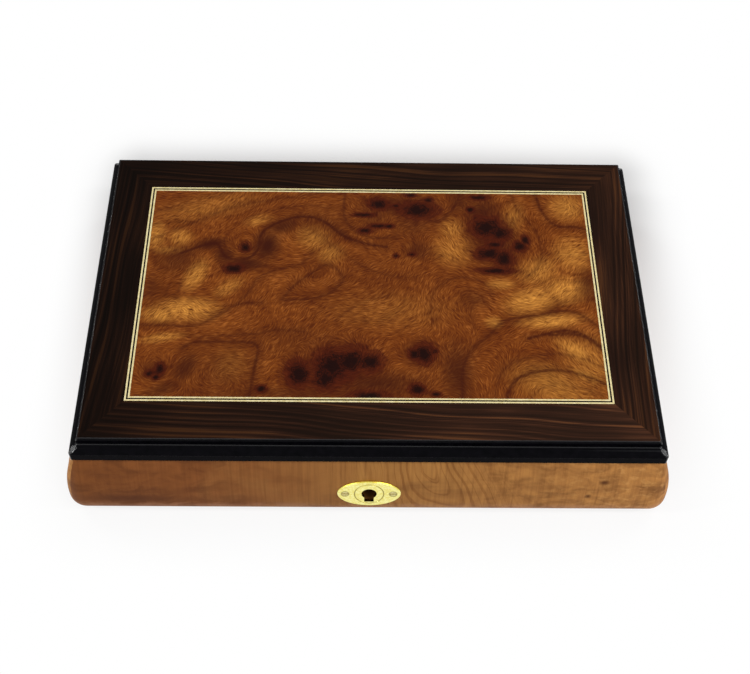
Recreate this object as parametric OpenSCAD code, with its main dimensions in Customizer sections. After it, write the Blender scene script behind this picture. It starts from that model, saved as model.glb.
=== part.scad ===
// Musical jewelry box: inlaid lid on a swelling wooden base, with a lock and a pinned-cylinder movement.
// Front is -Y, the hinges are at +Y, and the feet stand on Z = 0.

/* [Lid] */
// Width of the lid over its moulding
lid_w = 260; // [240:1:300]
// Depth of the lid over its moulding
lid_d = 170.4; // [164:0.2:200]
// Thickness of the lid
lid_h = 12; // [11:0.5:16]
// Width of the black edge moulding
moulding_w = 4.6; // [3.6:0.1:7]
// Height of the upright lip at the foot of the moulding
lip_h = 4.6; // [3:0.1:5]
// Height of the upright step at the top of the moulding
step_h = 4.2; // [3:0.1:5]
// Radius of the rounded edge along the top of the moulding
bead_r = 0.8; // [0.4:0.1:1.2]
// Radius of the moulding's curved face
face_r = 6; // [4.5:0.5:20]
// Share of the curved face's rise that is sanded flat at the moulding's mitres
facet_share = 0.85; // [0.5:0.05:0.95]
// Radius of the moulding's lower edge
lip_r = 0.8; // [0.4:0.1:1.2]
// Radius of the lid's plan corners
lid_corner_r = 1.5; // [0.5:0.1:3]
// Thickness of the veneers and inlay lines
veneer_t = 0.8; // [0.5:0.1:1.2]
// Width of the rosewood border at the sides and back
border_w = 17.8; // [10:0.1:22]
// Width of the rosewood border at the front
front_border_w = 18.8; // [12:0.1:24]
// Width of each of the three inlay lines
line_w = 0.75; // [0.6:0.05:1.6]
// Thickness of the padded lid lining
pad_t = 3; // [2:0.5:4]
// Distance of the padded lid lining from the wall lining
pad_gap = 4; // [2:0.5:8]

/* [Base] */
// Height of the walls
base_h = 34; // [34:0.5:44]
// How far the walls swell out beyond the lid
bulge = 6; // [4:0.1:10]
// How far the walls' top edge stands in from the lid's edge
top_inset = 1; // [0.5:0.1:2]
// Radius of the round under the swelling
under_r = 4.5; // [4:0.5:11]
// Plan radius of the walls' corners under the lid's edge
wall_corner_r = 3; // [2.5:0.1:5]
// Thickness of the walls at the top
wall_t = 9; // [8.5:0.5:12]
// Thickness of the bottom panel
panel_t = 4; // [3:0.5:5]
// Width of the rebate that takes the bottom panel
rebate_w = 6; // [5:0.5:7]
// Diameter of the feet
foot_d = 12; // [8:1:16]
// Height of the feet
foot_h = 2; // [1.5:0.5:6]

/* [Inside] */
// Thickness of the velvet-covered card linings
lining_t = 1.5; // [1:0.1:2]
// Thickness of the dividers
divider_t = 3; // [2:0.5:5]
// Distance of the dividers' top edge below the walls' top edge
divider_drop = 5; // [4.5:0.5:8]
// Width of the music bay at the left
music_bay_w = 71; // [68:1:80]
// Depth of the music bay at the back
music_bay_d = 68; // [62:1:72]
// Depth of the ring bay at the back
ring_bay_d = 66; // [44:1:80]
// Diameter of a ring roll
roll_d = 10.8; // [8:0.1:14]
// Thickness of the clear cover over the movement
cover_t = 1.2; // [1:0.1:1.4]

/* [Hinges] */
// Length of a hinge
hinge_l = 30; // [24:1:40]
// Distance between the middles of the hinges
hinge_spacing = 150; // [100:1:190]
// Diameter of the hinge knuckles
knuckle_d = 4; // [3.6:0.1:4.4]
// Diameter of the hinge pins
hinge_pin_d = 1.8; // [1.4:0.1:2]
// Thickness of the hinge leaves
leaf_t = 1; // [0.8:0.1:1.2]
// Width of the hinge leaves under the lid
leaf_w = 8; // [7:0.1:8.4]

/* [Lock] */
// Width of the keyhole plate
plate_w = 28.3; // [26:0.1:34]
// Height of the keyhole plate
plate_h = 17; // [14:0.1:19]
// Thickness of the keyhole plate
plate_t = 1.5; // [1.2:0.1:2]
// Depth of the keyhole plate's seat in the wall
plate_seat = 1; // [0.8:0.1:1.1]
// Height of the keyhole above the floor
keyhole_z = 17.4; // [16.8:0.2:24]
// Diameter of the keyhole
keyhole_d = 6.8; // [5.5:0.1:7]
// Width of the keyhole's slot
keyhole_slot_w = 4.3; // [2.5:0.1:4.5]
// Reach of the keyhole's slot below the keyhole's middle
keyhole_slot_l = 5.6; // [4:0.1:6]
// Distance of the plate's screws from the keyhole
plate_screw_x = 10.7; // [9.8:0.1:11.2]
// Width of the lock case
lock_w = 36; // [34:1:44]
// Thickness of the lock case
lock_t = 7; // [6.6:0.1:7.2]
// Thickness of the lock's plates
lock_plate_t = 1; // [0.8:0.1:1.2]
// Travel of the lock bolt
bolt_travel = 3.5; // [3:0.1:3.6]

/* [Movement] */
// Height of the bedplate above the bottom panel
standoff_h = 3; // [2.5:0.1:3.2]
// Thickness of the bedplate
bed_t = 2; // [1.6:0.1:2.2]
// Diameter of the spring barrel
barrel_d = 24; // [23.8:0.1:25]
// Diameter of the winding arbor
arbor_d = 4; // [3:0.1:5]
// Span of the winding key
key_span = 26; // [20:1:27]
// Diameter of the pinned cylinder
cylinder_d = 13; // [11:0.1:13.4]
// Diameter of the cylinder's arbor
spindle_d = 2.4; // [1.8:0.1:3]
// Number of notes
notes = 18; // [12:1:24]
// Diameter of the stop pin
stop_d = 2.4; // [2:0.1:2.8]
// Radius of the fly's disc and wings
fly_r = 4.6; // [3.5:0.1:4.8]

/* [Hidden] */
$fn = 64;
run_gap = 0.05;
fit_gap = 0.05;
free_gap = 0.3;
// How far a cutting shape runs past what it cuts
skin = 1;

half_w = lid_w / 2;
half_d = lid_d / 2;
floor_z = foot_h + panel_t;
rim_z = foot_h + base_h;
lid_z = rim_z + lid_h;
swell_z = foot_h + under_r;
wall_in = top_inset + wall_t;
in_x = half_w - wall_in;
in_y = half_d - wall_in;
bay_x = in_x - lining_t;
bay_y = in_y - lining_t;

// The wall's side is one arc from the top edge to the widest line, upright there
swell_out = top_inset + bulge;
swell_up = base_h - under_r;
swell_r = (swell_out * swell_out + swell_up * swell_up) / (2 * swell_out);
function overhang(z) = bulge - swell_r + sqrt(swell_r * swell_r - pow(z - swell_z, 2));

// Moulding's curved face, from the foot of its upright to the top of its lip
face_top = [bead_r, lid_h - step_h];
face_foot = [moulding_w, lip_h];
face_chord = face_foot - face_top;
face_rise = face_r - sqrt(face_r * face_r - face_chord * face_chord / 4);

// Lid top: the board's rectangle, and the inlaid panel set towards the back
board_x = half_w - moulding_w;
board_y = half_d - moulding_w;
panel_x = board_x - border_w;
panel_front = -board_y + front_border_w;
panel_back = board_y - border_w;
veneer_z = lid_z - veneer_t;

// Dividers and bays
divider_z = rim_z - divider_drop;
music_x = -bay_x + music_bay_w;
music_y = bay_y - music_bay_d;
ring_x = music_x + divider_t;
ring_y = bay_y - ring_bay_d;
carpet_z = floor_z + lining_t;
lining_top = rim_z - pad_t;
roll_n = floor(ring_bay_d / roll_d);
roll_pitch = ring_bay_d / roll_n;
roll_flat = 0.5;
cover_drop = 0.8;
cover_z = rim_z - pad_t - cover_drop;

// Hinge axis, behind the lid's edge and level with the walls' top edge
hinge_y = half_d + free_gap + knuckle_d / 2;
leaf_front = half_d - top_inset - leaf_w;
leaf_back = half_d - top_inset - fit_gap;
knuckle_n = 3;
knuckle_gap = 0.2;
knuckle_l = hinge_l / knuckle_n;
hinge_x = [-hinge_spacing / 2, hinge_spacing / 2];

// Screws: head diameter, shank diameter and length
panel_screw = [5, 2.6, 10];
hinge_screw = [3.2, 1.8, 7];
hinge_screw_x = hinge_l / 2 - 6;
hinge_screw_y = leaf_front + 3;
hinge_screw_sink = 0.1;
plate_screw = [3, 1.6, 6];
lock_screw = [3, 1.8, 6];
link_screw = [3, 1.6, 6];
comb_screw = [3.6, 2, 6];
bed_screw = [4.5, 2.5, 6];

// Bottom panel screws stand in the middle of the rebate
panel_screw_x = in_x + rebate_w / 2;
panel_screw_y = in_y + rebate_w / 2;
panel_screw_run = in_x * 2 / 3;
panel_screw_side = in_y / 2;
panel_screws = concat(
    [for (x = [-1, -1/3, 1/3, 1], y = [-1, 1]) [x * panel_screw_run, y * panel_screw_y]],
    [for (x = [-1, 1], y = [-1, 1]) [x * panel_screw_x, y * panel_screw_side]]);

// Keyhole plate lies on the wall's slope at the keyhole's height
plate_y = -(half_d + overhang(keyhole_z));
plate_tilt = asin((keyhole_z - swell_z) / swell_r);

// Lock case, let into the inside of the front wall and just below its top edge
lock_back = -in_y;
lock_front = -in_y - lock_t;
lock_mid = (lock_back + lock_front) / 2;
lock_drop = 6;
lock_z = keyhole_z - lock_drop;
lock_sink = 0.2;
lock_top = rim_z - lock_sink;
selvedge_over = 5;
selvedge_w = lock_w + 2 * selvedge_over;
selvedge_z = lock_top - lock_plate_t;
lock_screw_x = lock_w / 2 + selvedge_over / 2;
link_over = 4;
link_w = lock_w + 2 * link_over;
link_d = 7;
link_t = 1.2;
link_screw_x = link_w / 2 - 3.5;
staple_x = 9;
staple_t = 1.6;
staple_d = 4.4;
staple_h = 6.5;
staple_hole_d = 2.6;
staple_hole_z = rim_z - 3.8;
staple_slot_gap = 0.4;
bolt_h = 3;
bolt_z = rim_z - staple_h - bolt_h - 0.5;
bolt_post_w = 2.4;
bolt_rest = 0.5;
bolt_notch_w = 3;
bolt_notch_h = 1.4;
tongue = 1.6;

// Movement bedplate, in the middle of the music bay
bed_x = -bay_x + music_bay_w / 2;
bed_y = bay_y - music_bay_d / 2;
bed_z = floor_z + standoff_h;
bed_top = bed_z + bed_t;
bed_margin_x = 4.5;
bed_margin_y = 10;
bed_w = music_bay_w - 2 * bed_margin_x;
bed_d = music_bay_d - 2 * bed_margin_y;
bed_shift = -3;
boss_d = 7;
boss_inset = 4;
bosses = [for (x = [-1, 1], y = [-1, 1])
    [x * (bed_w / 2 - boss_inset), bed_shift + y * (bed_d / 2 - boss_inset)]];

// Gear teeth, in modules: rise and fall from the pitch line, half widths at root and tip
tooth_up = 0.5;
tooth_down = 0.9;
tooth_root = 0.8;
tooth_tip = 0.36;

// Spring barrel, with crown teeth that turn the pinion on the cylinder's arbor
train_m = 0.6;
crown_n = 36;
pinion_n = 12;
crown_r = train_m * crown_n / 2;
crown_face = 2.2;
pinion_r = train_m * pinion_n / 2;
barrel_margin = 6.5;
barrel_wall = 1;
barrel_x = -music_bay_w / 2 + barrel_margin + barrel_d / 2;
axis_y = -8;
barrel_z = bed_top + free_gap;

// The barrel is as tall as the room under the cover lets the cylinder stand
pin_d = 0.5;
pin_h = 0.7;
head_gap = 1.6;
axis_z = cover_z - cover_t - head_gap - pin_h - cylinder_d / 2;
barrel_top = axis_z - pinion_r - train_m * tooth_down;
barrel_h = barrel_top - barrel_z;

// Governor: a frame at the bedplate's right edge, then wheel, pinion, bracket and cylinder to its left
gov_m = 0.4;
gear_n = 32;
gov_pinion_n = 8;
gov_wheel_n = 24;
gear_t = 1.4;
gov_dist = gov_m * (gear_n + gov_pinion_n) / 2;
gov_angle = 200;
gov_y = axis_y + gov_dist * cos(gov_angle);
gov_z = axis_z + gov_dist * sin(gov_angle);
gov_arbor_d = 1.2;
gov_edge = 2.4;
gov_gap = 1.8;
post_t = 1.4;
post_x = bed_w / 2 - post_t;
gov_wheel_x = post_x - fly_r - gear_t;
gear_x = gov_wheel_x - gov_gap - gear_t;
bracket_t = 1;
bracket_gap = 0.3;
bracket_w = 8;
bracket_right = gear_x - bracket_gap - bracket_t;
barrel_clear = 2;
cylinder_x = barrel_x + barrel_d / 2 + barrel_clear;
cylinder_l = bracket_right - bracket_gap - cylinder_x;
bracket_left = cylinder_x - 2 * bracket_gap - bracket_t;

// Fly and stop pin
worm_r = 1.4;
worm_l = 8;
worm_turns = 6;
worm_deep = 0.5;
worm_gap = 0.1;
fly_x = gov_wheel_x + gear_t / 2;
fly_y = gov_y - gov_m * (gov_wheel_n / 2 + tooth_up) - worm_r - worm_gap;
fly_rise = 5.4;
fly_top = axis_z + fly_rise;
fly_h = 2.6;
fly_t = 0.6;
arm_w = 5.4;
arm_t = 1.2;
arm_z = fly_top + 2 * free_gap;
stop_reach = 2.6;
stop_x = fly_x - fly_r - stop_reach;
stop_lap = 1.4;
stop_arm_w = 2;
stop_arm_t = 0.8;
stop_guide_h = 9;
stop_guide_wall = 1.5;

// Comb, level with the cylinder's arbor
comb_gap = 0.2;
comb_y = axis_y + cylinder_d / 2 + pin_h + comb_gap;
comb_tooth_l = 9;
comb_base_l = 8;
comb_back = comb_y + comb_tooth_l;
comb_t = 1.4;
comb_tooth_t = 0.8;
comb_pitch = cylinder_l / notes;
comb_slit = comb_pitch * 0.3;
comb_screw_inset = 4.4;

// Winding key, in a well through the bottom panel
key_lift = 1;
key_z = foot_h - key_lift;
key_t = 2.2;
key_hub_wall = 1.7;
key_floor = 1.5;
key_room = 1.6;
key_h = bed_z - key_z - key_room;
key_well_gap = 2;
key_well_d = key_span + 2 * key_well_gap;
neck_d = arbor_d - 1;
neck_h = barrel_wall + 0.5;

// A box given by its lowest and highest corners
module span(low, high) {
    translate(low) cube(high - low);
}

// A countersunk screw with its head's face at the origin, pointing down; grow widens it into its hole
module screw(size, grow = 0) {
    head_d = size[0] + 2 * grow;
    shank_d = size[1] + 2 * grow;
    rim = 0.15;
    sink = rim + (size[0] - size[1]) / 2;
    slot_w = 0.5;
    slot_t = 0.35;
    difference() {
        union() {
            translate([0, 0, -rim]) cylinder(h = rim + (grow > 0 ? skin : 0), d = head_d);
            translate([0, 0, -sink]) cylinder(h = sink - rim, d1 = shank_d, d2 = head_d);
            translate([0, 0, -size[2] - grow]) cylinder(h = size[2] + grow - rim, d = shank_d);
        }
        if (grow == 0) {
            translate([-head_d, -slot_w / 2, -slot_t]) cube([2 * head_d, slot_w, slot_t + skin]);
        }
    }
}

// A rectangle with round corners, standing on the middle
module round_rect(w, d, r) {
    square([w - 2 * r, d], center = true);
    square([w, d - 2 * r], center = true);
    for (x = [-1, 1], y = [-1, 1]) translate([x * (w / 2 - r), y * (d / 2 - r)]) circle(r);
}

// An oval of the given width and height
module oval(w, h) {
    polygon([for (a = [0 : 5 : 355]) [w / 2 * cos(a), h / 2 * sin(a)]]);
}

// The wedge that cuts one side of a frame at 45 degrees, front side, in plan
module mitre(inner_x, inner_y, reach, low, high) {
    translate([0, 0, low]) linear_extrude(high - low) polygon([
        [-inner_x, -inner_y], [-inner_x - reach, -inner_y - reach],
        [inner_x + reach, -inner_y - reach], [inner_x, -inner_y]]);
}

// Wall section: across is measured outwards from the lid's edge, up is height
module wall_section() {
    difference() {
        union() {
            intersection() {
                translate([bulge - swell_r, swell_z]) circle(swell_r, $fn = 180);
                translate([-wall_in, swell_z]) square([wall_in + bulge + skin, swell_up]);
            }
            translate([-wall_in, foot_h]) square([wall_in + bulge - under_r, under_r]);
            intersection() {
                translate([bulge - under_r, swell_z]) circle(under_r);
                translate([bulge - under_r, foot_h]) square([under_r, under_r]);
            }
        }
        translate([-wall_in - skin, foot_h - skin]) square([rebate_w + skin, panel_t + skin]);
    }
}

// One mitred wall facing the front, for a run and a depth measured to the lid's edge
module wall(run, depth) {
    intersection() {
        union() {
            translate([0, -depth, 0]) rotate([90, 0, -90])
                linear_extrude(2 * (run - wall_corner_r), center = true) wall_section();
            for (side = [-1, 1])
                translate([side * (run - wall_corner_r), wall_corner_r - depth, 0])
                    rotate([0, 0, side > 0 ? -90 : -180]) rotate_extrude(angle = 90) intersection() {
                        translate([wall_corner_r, 0]) wall_section();
                        square([wall_corner_r + bulge + skin, rim_z]);
                    }
        }
        mitre(run - wall_in, depth - wall_in, wall_in + bulge + skin, 0, rim_z);
    }
}

// The bottom screws' holes, or the screws
module bottom_screw_set(grow) {
    for (p = panel_screws) translate([p[0], p[1], foot_h]) rotate([180, 0, 0]) screw(panel_screw, grow);
}

// Places a child on each hinge
module on_hinges() {
    for (x = hinge_x) translate([x, 0, 0]) children();
}

module hinge_screw_set(turn, grow) {
    on_hinges() for (x = [-1, 1])
        translate([x * hinge_screw_x, hinge_screw_y, rim_z]) rotate([turn, 0, 0])
            translate([0, 0, -hinge_screw_sink]) screw(hinge_screw, grow);
}

// The bed that a pair of leaves lies in, below or above the walls' top edge
module leaf_beds(low, high) {
    reach = hinge_l / 2 + fit_gap;
    on_hinges() span([-reach, leaf_front - fit_gap, low], [reach, half_d + skin, high]);
}

// Brings a child to the keyhole plate's slope, with its face towards +Z
module on_plate() {
    translate([0, plate_y, keyhole_z]) rotate([90 - plate_tilt, 0, 0]) children();
}

module keyhole(grow, deep) {
    cylinder(h = deep, d = keyhole_d + 2 * grow, center = true);
    translate([-keyhole_slot_w / 2 - grow, -keyhole_slot_l - grow, -deep / 2])
        cube([keyhole_slot_w + 2 * grow, keyhole_slot_l, deep]);
}

module plate_screw_set(grow) {
    on_plate() for (x = [-1, 1])
        translate([x * plate_screw_x, 0, plate_t - plate_seat]) screw(plate_screw, grow);
}

module lock_screw_set(grow) {
    for (x = [-1, 1]) translate([x * lock_screw_x, lock_mid, lock_top]) screw(lock_screw, grow);
}

module link_screw_set(grow) {
    for (x = [-1, 1]) translate([x * link_screw_x, lock_mid, rim_z])
        rotate([180, 0, 0]) screw(link_screw, grow);
}

module front_wall() {
    color("#93633A") difference() {
        wall(half_w, half_d);
        bottom_screw_set(fit_gap);
        span([-selvedge_w / 2 - fit_gap, lock_front - fit_gap, selvedge_z - fit_gap],
            [selvedge_w / 2 + fit_gap, lock_back + skin, rim_z + skin]);
        span([-lock_w / 2 - fit_gap, lock_front - fit_gap, lock_z - fit_gap],
            [lock_w / 2 + fit_gap, lock_back + skin, rim_z]);
        on_plate() translate([0, 0, -plate_seat]) linear_extrude(plate_h)
            oval(plate_w + 2 * fit_gap, plate_h + 2 * fit_gap);
        translate([0, lock_front, keyhole_z]) rotate([90, 0, 0]) keyhole(2 * free_gap, 4 * wall_t);
        plate_screw_set(fit_gap);
        lock_screw_set(fit_gap);
    }
}

module back_wall() {
    color("#93633A") difference() {
        rotate([0, 0, 180]) wall(half_w, half_d);
        bottom_screw_set(fit_gap);
        leaf_beds(rim_z - leaf_t, rim_z + skin);
        hinge_screw_set(0, fit_gap);
    }
}

module left_wall() {
    color("#7A4826") difference() {
        rotate([0, 0, -90]) wall(half_d, half_w);
        bottom_screw_set(fit_gap);
    }
}

module right_wall() {
    color("#AB7948") difference() {
        rotate([0, 0, 90]) wall(half_d, half_w);
        bottom_screw_set(fit_gap);
    }
}

module bottom_panel() {
    edge_x = in_x + rebate_w - fit_gap;
    edge_y = in_y + rebate_w - fit_gap;
    color("#C9A878") difference() {
        span([-edge_x, -edge_y, foot_h], [edge_x, edge_y, floor_z]);
        bottom_screw_set(fit_gap);
        in_movement() translate([barrel_x, axis_y, 0]) cylinder(h = rim_z, d = key_well_d);
        bed_screw_set(fit_gap);
    }
}

module bottom_screws() {
    color("#B8B4AC") bottom_screw_set(0);
}

module feet() {
    bevel = foot_h / 4;
    inset = foot_d / 2 + 2;
    color("#2A2522") for (x = [-1, 1], y = [-1, 1])
        translate([x * (in_x - inset), y * (in_y - inset), 0]) {
            cylinder(h = bevel, d1 = foot_d - 2 * bevel, d2 = foot_d);
            translate([0, 0, bevel]) cylinder(h = foot_h - bevel, d = foot_d);
        }
}

module floor_lining() {
    color("#6E1F2B") {
        span([-bay_x, -bay_y, floor_z], [music_x, music_y - divider_t, carpet_z]);
        span([ring_x, -bay_y, floor_z], [bay_x, ring_y - divider_t, carpet_z]);
        span([ring_x, ring_y, floor_z], [bay_x, bay_y, carpet_z]);
    }
}

module wall_lining() {
    color("#6E1F2B") {
        difference() {
            span([-in_x, -in_y, floor_z], [in_x, -bay_y, lining_top]);
            span([-lock_w / 2 - skin, -in_y - skin, lock_z - skin],
                [lock_w / 2 + skin, -bay_y + skin, rim_z]);
        }
        span([-in_x, bay_y, floor_z], [in_x, in_y, lining_top]);
        for (x = [-in_x, bay_x])
            span([x, -bay_y + fit_gap, floor_z], [x + lining_t, bay_y - fit_gap, lining_top]);
    }
}

module long_divider() {
    color("#5A1822") span([music_x, -bay_y, floor_z], [ring_x, bay_y, divider_z]);
}

module music_divider() {
    color("#5A1822") span([-bay_x, music_y - divider_t, floor_z], [music_x, music_y, divider_z]);
}

module tray_divider() {
    color("#5A1822") span([ring_x, ring_y - divider_t, floor_z], [bay_x, ring_y, divider_z]);
}

module ring_rolls() {
    color("#7C2633") for (i = [0 : roll_n - 1]) intersection() {
        translate([ring_x + free_gap, ring_y + (i + 0.5) * roll_pitch, carpet_z + roll_d / 2 - roll_flat])
            rotate([0, 90, 0]) cylinder(h = bay_x - ring_x - 2 * free_gap, d = roll_d);
        span([ring_x, ring_y, carpet_z], [bay_x, bay_y, rim_z]);
    }
}

// Places a child in the movement's own frame, at the middle of the music bay
module in_movement() {
    translate([bed_x, bed_y, 0]) children();
}

module bed_screw_set(grow) {
    in_movement() for (b = bosses) translate([b[0], b[1], foot_h]) rotate([180, 0, 0]) screw(bed_screw, grow);
}

module comb_screw_set(grow) {
    in_movement() for (x = [comb_screw_inset, cylinder_l - comb_screw_inset])
        translate([cylinder_x + x, comb_back + comb_base_l / 2, axis_z + comb_t]) screw(comb_screw, grow);
}

// Section of a tooth that rises along X from the root at the given distance
function tooth_points(m, root) = let (tip = root + m * (tooth_down + tooth_up)) [
    [root - m / 2, -tooth_root * m], [root - m / 2, tooth_root * m], [root, tooth_root * m],
    [tip, tooth_tip * m], [tip, -tooth_tip * m], [root, -tooth_root * m]];

// A gear around Z, with the first tooth at +X
module gear(m, n, t, bore) {
    root = m * (n / 2 - tooth_down);
    difference() {
        union() {
            cylinder(h = t, r = root);
            for (i = [0 : n - 1]) rotate([0, 0, i * 360 / n])
                linear_extrude(t) polygon(tooth_points(m, root));
        }
        translate([0, 0, -skin]) cylinder(h = t + 2 * skin, d = bore);
    }
}

// Turns a child built around Z to lie along X, with its +X pointing to +Y
module along_x() {
    rotate([90, 0, 90]) children();
}

// A cast plate with four feet, a ledge for the comb and a guide for the stop pin
module bedplate() {
    color("#B9B7AE") difference() {
        in_movement() {
            translate([-bed_w / 2, bed_shift - bed_d / 2, bed_z]) cube([bed_w, bed_d, bed_t]);
            for (b = bosses) translate([b[0], b[1], floor_z]) cylinder(h = standoff_h, d = boss_d);
            translate([stop_x, fly_y, bed_top]) cylinder(h = stop_guide_h, d = stop_d + 2 * stop_guide_wall);
            translate([cylinder_x, comb_back, bed_top]) cube([cylinder_l, comb_base_l, axis_z - bed_top]);
        }
        bed_screw_set(fit_gap);
        comb_screw_set(fit_gap);
        in_movement() {
            translate([barrel_x, axis_y, 0]) cylinder(h = rim_z, d = arbor_d + 2 * run_gap);
            translate([stop_x, fly_y, 0]) cylinder(h = rim_z, d = stop_d + 2 * run_gap);
        }
    }
}

module bedplate_screws() {
    color("#B8B4AC") bed_screw_set(0);
}

// Two upright plates that carry the cylinder's arbor; the right one also carries the governor
module bearing_brackets() {
    color("#C8B070") in_movement() difference() {
        union() {
            span([bracket_left, axis_y - bracket_w / 2, bed_top],
                [bracket_left + bracket_t, axis_y + bracket_w / 2, axis_z + bracket_w / 2]);
            span([bracket_right, gov_y - gov_edge, bed_top],
                [bracket_right + bracket_t, axis_y + bracket_w / 2, axis_z + bracket_w / 2]);
        }
        translate([bracket_left - skin, axis_y, axis_z]) along_x()
            cylinder(h = bracket_right - bracket_left + 3 * skin, d = spindle_d + 2 * run_gap);
        translate([bracket_right - skin, gov_y, gov_z]) along_x()
            cylinder(h = bracket_t + 2 * skin, d = gov_arbor_d + 2 * run_gap);
    }
}

// An upturned cup with crown teeth on its top face, centred on the winding arbor
module spring_barrel() {
    color("#C9A24A") in_movement() translate([barrel_x, axis_y, 0]) {
        difference() {
            translate([0, 0, barrel_z]) cylinder(h = barrel_h, d = barrel_d);
            translate([0, 0, barrel_z - skin])
                cylinder(h = barrel_h - barrel_wall + skin, d = barrel_d - 2 * barrel_wall);
            translate([0, 0, barrel_z]) cylinder(h = rim_z, d = neck_d + 2 * run_gap);
        }
        for (i = [0 : crown_n - 1]) rotate([0, 0, i * 360 / crown_n])
            translate([crown_r - crown_face / 2, 0, barrel_top]) rotate([0, -90, 180])
                linear_extrude(crown_face) polygon(tooth_points(train_m, 0));
    }
}

// A flat steel strip coiled inside the barrel
module mainspring() {
    turns = 5;
    steps = 24;
    strip = 0.5;
    clear = 0.4;
    first = arbor_d / 2 + 3 * clear;
    last = barrel_d / 2 - barrel_wall - clear - strip;
    function place(i, out) = let (r = first + (last - first) * i / (turns * steps) + out, a = i * 360 / steps)
        [r * cos(a), r * sin(a)];
    color("#5C6470") in_movement() translate([barrel_x, axis_y, barrel_z + clear])
        linear_extrude(barrel_h - barrel_wall - 2 * clear) polygon(concat(
            [for (i = [0 : turns * steps]) place(i, 0)],
            [for (i = [turns * steps : -1 : 0]) place(i, strip)]));
}

// The arbor has a slimmer top that turns in the barrel's roof
module winding_arbor() {
    low = key_z + key_floor;
    shoulder = barrel_top - neck_h;
    color("#B8B4AC") in_movement() translate([barrel_x, axis_y, 0]) {
        translate([0, 0, low]) cylinder(h = shoulder - low, d = arbor_d);
        translate([0, 0, shoulder]) cylinder(h = neck_h, d = neck_d);
    }
}

// A flat butterfly key on a round hub
module winding_key() {
    lobe_x = (key_span - key_h) / 2;
    color("#C9A24A") in_movement() translate([barrel_x, axis_y, key_z]) difference() {
        union() {
            cylinder(h = bed_z - key_z - free_gap, d = arbor_d + 2 * key_hub_wall);
            translate([-lobe_x, -key_t / 2, 0]) cube([2 * lobe_x, key_t, key_h]);
            for (x = [-lobe_x, lobe_x]) translate([x, key_t / 2, key_h / 2])
                rotate([90, 0, 0]) cylinder(h = key_t, d = key_h);
        }
        translate([0, 0, key_floor]) cylinder(h = rim_z, d = arbor_d);
        for (x = [-lobe_x, lobe_x]) translate([x, key_t, key_h / 2])
            rotate([90, 0, 0]) cylinder(h = 2 * key_t, d = key_h / 3);
    }
}

// A brass cylinder with three rounds of pins, each note's pins turned on from the last one's
module pinned_cylinder() {
    rounds = 3;
    note_turn = 47;
    color("#D8B860") in_movement() translate([cylinder_x, axis_y, axis_z]) {
        difference() {
            along_x() cylinder(h = cylinder_l, d = cylinder_d);
            translate([-skin, 0, 0]) along_x() cylinder(h = cylinder_l + 2 * skin, d = spindle_d);
        }
        for (i = [0 : notes - 1], k = [0 : rounds - 1])
            translate([(i + 0.5) * comb_pitch, 0, 0]) rotate([i * note_turn + k * 360 / rounds, 0, 0])
                translate([0, 0, cylinder_d / 2 - pin_h]) cylinder(h = 2 * pin_h, d = pin_d, $fn = 6);
    }
}

module cylinder_arbor() {
    left = barrel_x + crown_r - crown_face / 2 - bracket_gap;
    right = gear_x + gear_t + bracket_gap;
    color("#B8B4AC") in_movement() translate([left, axis_y, axis_z]) along_x()
        cylinder(h = right - left, d = spindle_d);
}

module drive_pinion() {
    color("#C9A24A") in_movement() translate([barrel_x + crown_r - crown_face / 2, axis_y, axis_z]) along_x()
        rotate([0, 0, 180 / pinion_n]) gear(train_m, pinion_n, crown_face, spindle_d);
}

module cylinder_gear() {
    color("#C9A24A") in_movement() translate([gear_x, axis_y, axis_z]) along_x()
        rotate([0, 0, gov_angle]) gear(gov_m, gear_n, gear_t, spindle_d);
}

// A steel plate with one tooth for each note
module comb() {
    color("#9AA0A6") difference() {
        in_movement() {
            translate([cylinder_x, comb_back, axis_z]) cube([cylinder_l, comb_base_l, comb_t]);
            for (i = [0 : notes - 1])
                translate([cylinder_x + i * comb_pitch + comb_slit / 2, comb_y, axis_z])
                    cube([comb_pitch - comb_slit, comb_tooth_l + fit_gap, comb_tooth_t]);
        }
        comb_screw_set(fit_gap);
    }
}

module comb_screws() {
    color("#B8B4AC") comb_screw_set(0);
}

// A bent plate: a foot on the bedplate, a post for the governor's arbor and an arm over the fly
module governor_frame() {
    left = fly_x - gov_edge;
    right = post_x + post_t;
    front = fly_y - arm_w / 2;
    back = gov_y + gov_edge;
    color("#B9B7AE") in_movement() difference() {
        union() {
            span([left, front, bed_top], [right, back, bed_top + arm_t]);
            span([post_x, front, bed_top], [right, back, arm_z + arm_t]);
            span([left, front, arm_z], [right, front + arm_w, arm_z + arm_t]);
        }
        translate([post_x - skin, gov_y, gov_z]) along_x()
            cylinder(h = post_t + 2 * skin, d = gov_arbor_d + 2 * run_gap);
        translate([fly_x, fly_y, bed_top - skin]) cylinder(h = rim_z, d = gov_arbor_d + 2 * run_gap);
    }
}

module governor_gear() {
    arbor_l = post_x + post_t - bracket_right;
    mesh_turn = gov_angle + 180 + 180 / gov_pinion_n;
    color("#C9A24A") in_movement() translate([0, gov_y, gov_z]) {
        translate([bracket_right, 0, 0]) along_x() cylinder(h = arbor_l, d = gov_arbor_d);
        translate([gear_x, 0, 0]) along_x() rotate([0, 0, mesh_turn])
            gear(gov_m, gov_pinion_n, gear_t, gov_arbor_d);
        translate([gov_wheel_x, 0, 0]) along_x() gear(gov_m, gov_wheel_n, gear_t, gov_arbor_d);
    }
}

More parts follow.
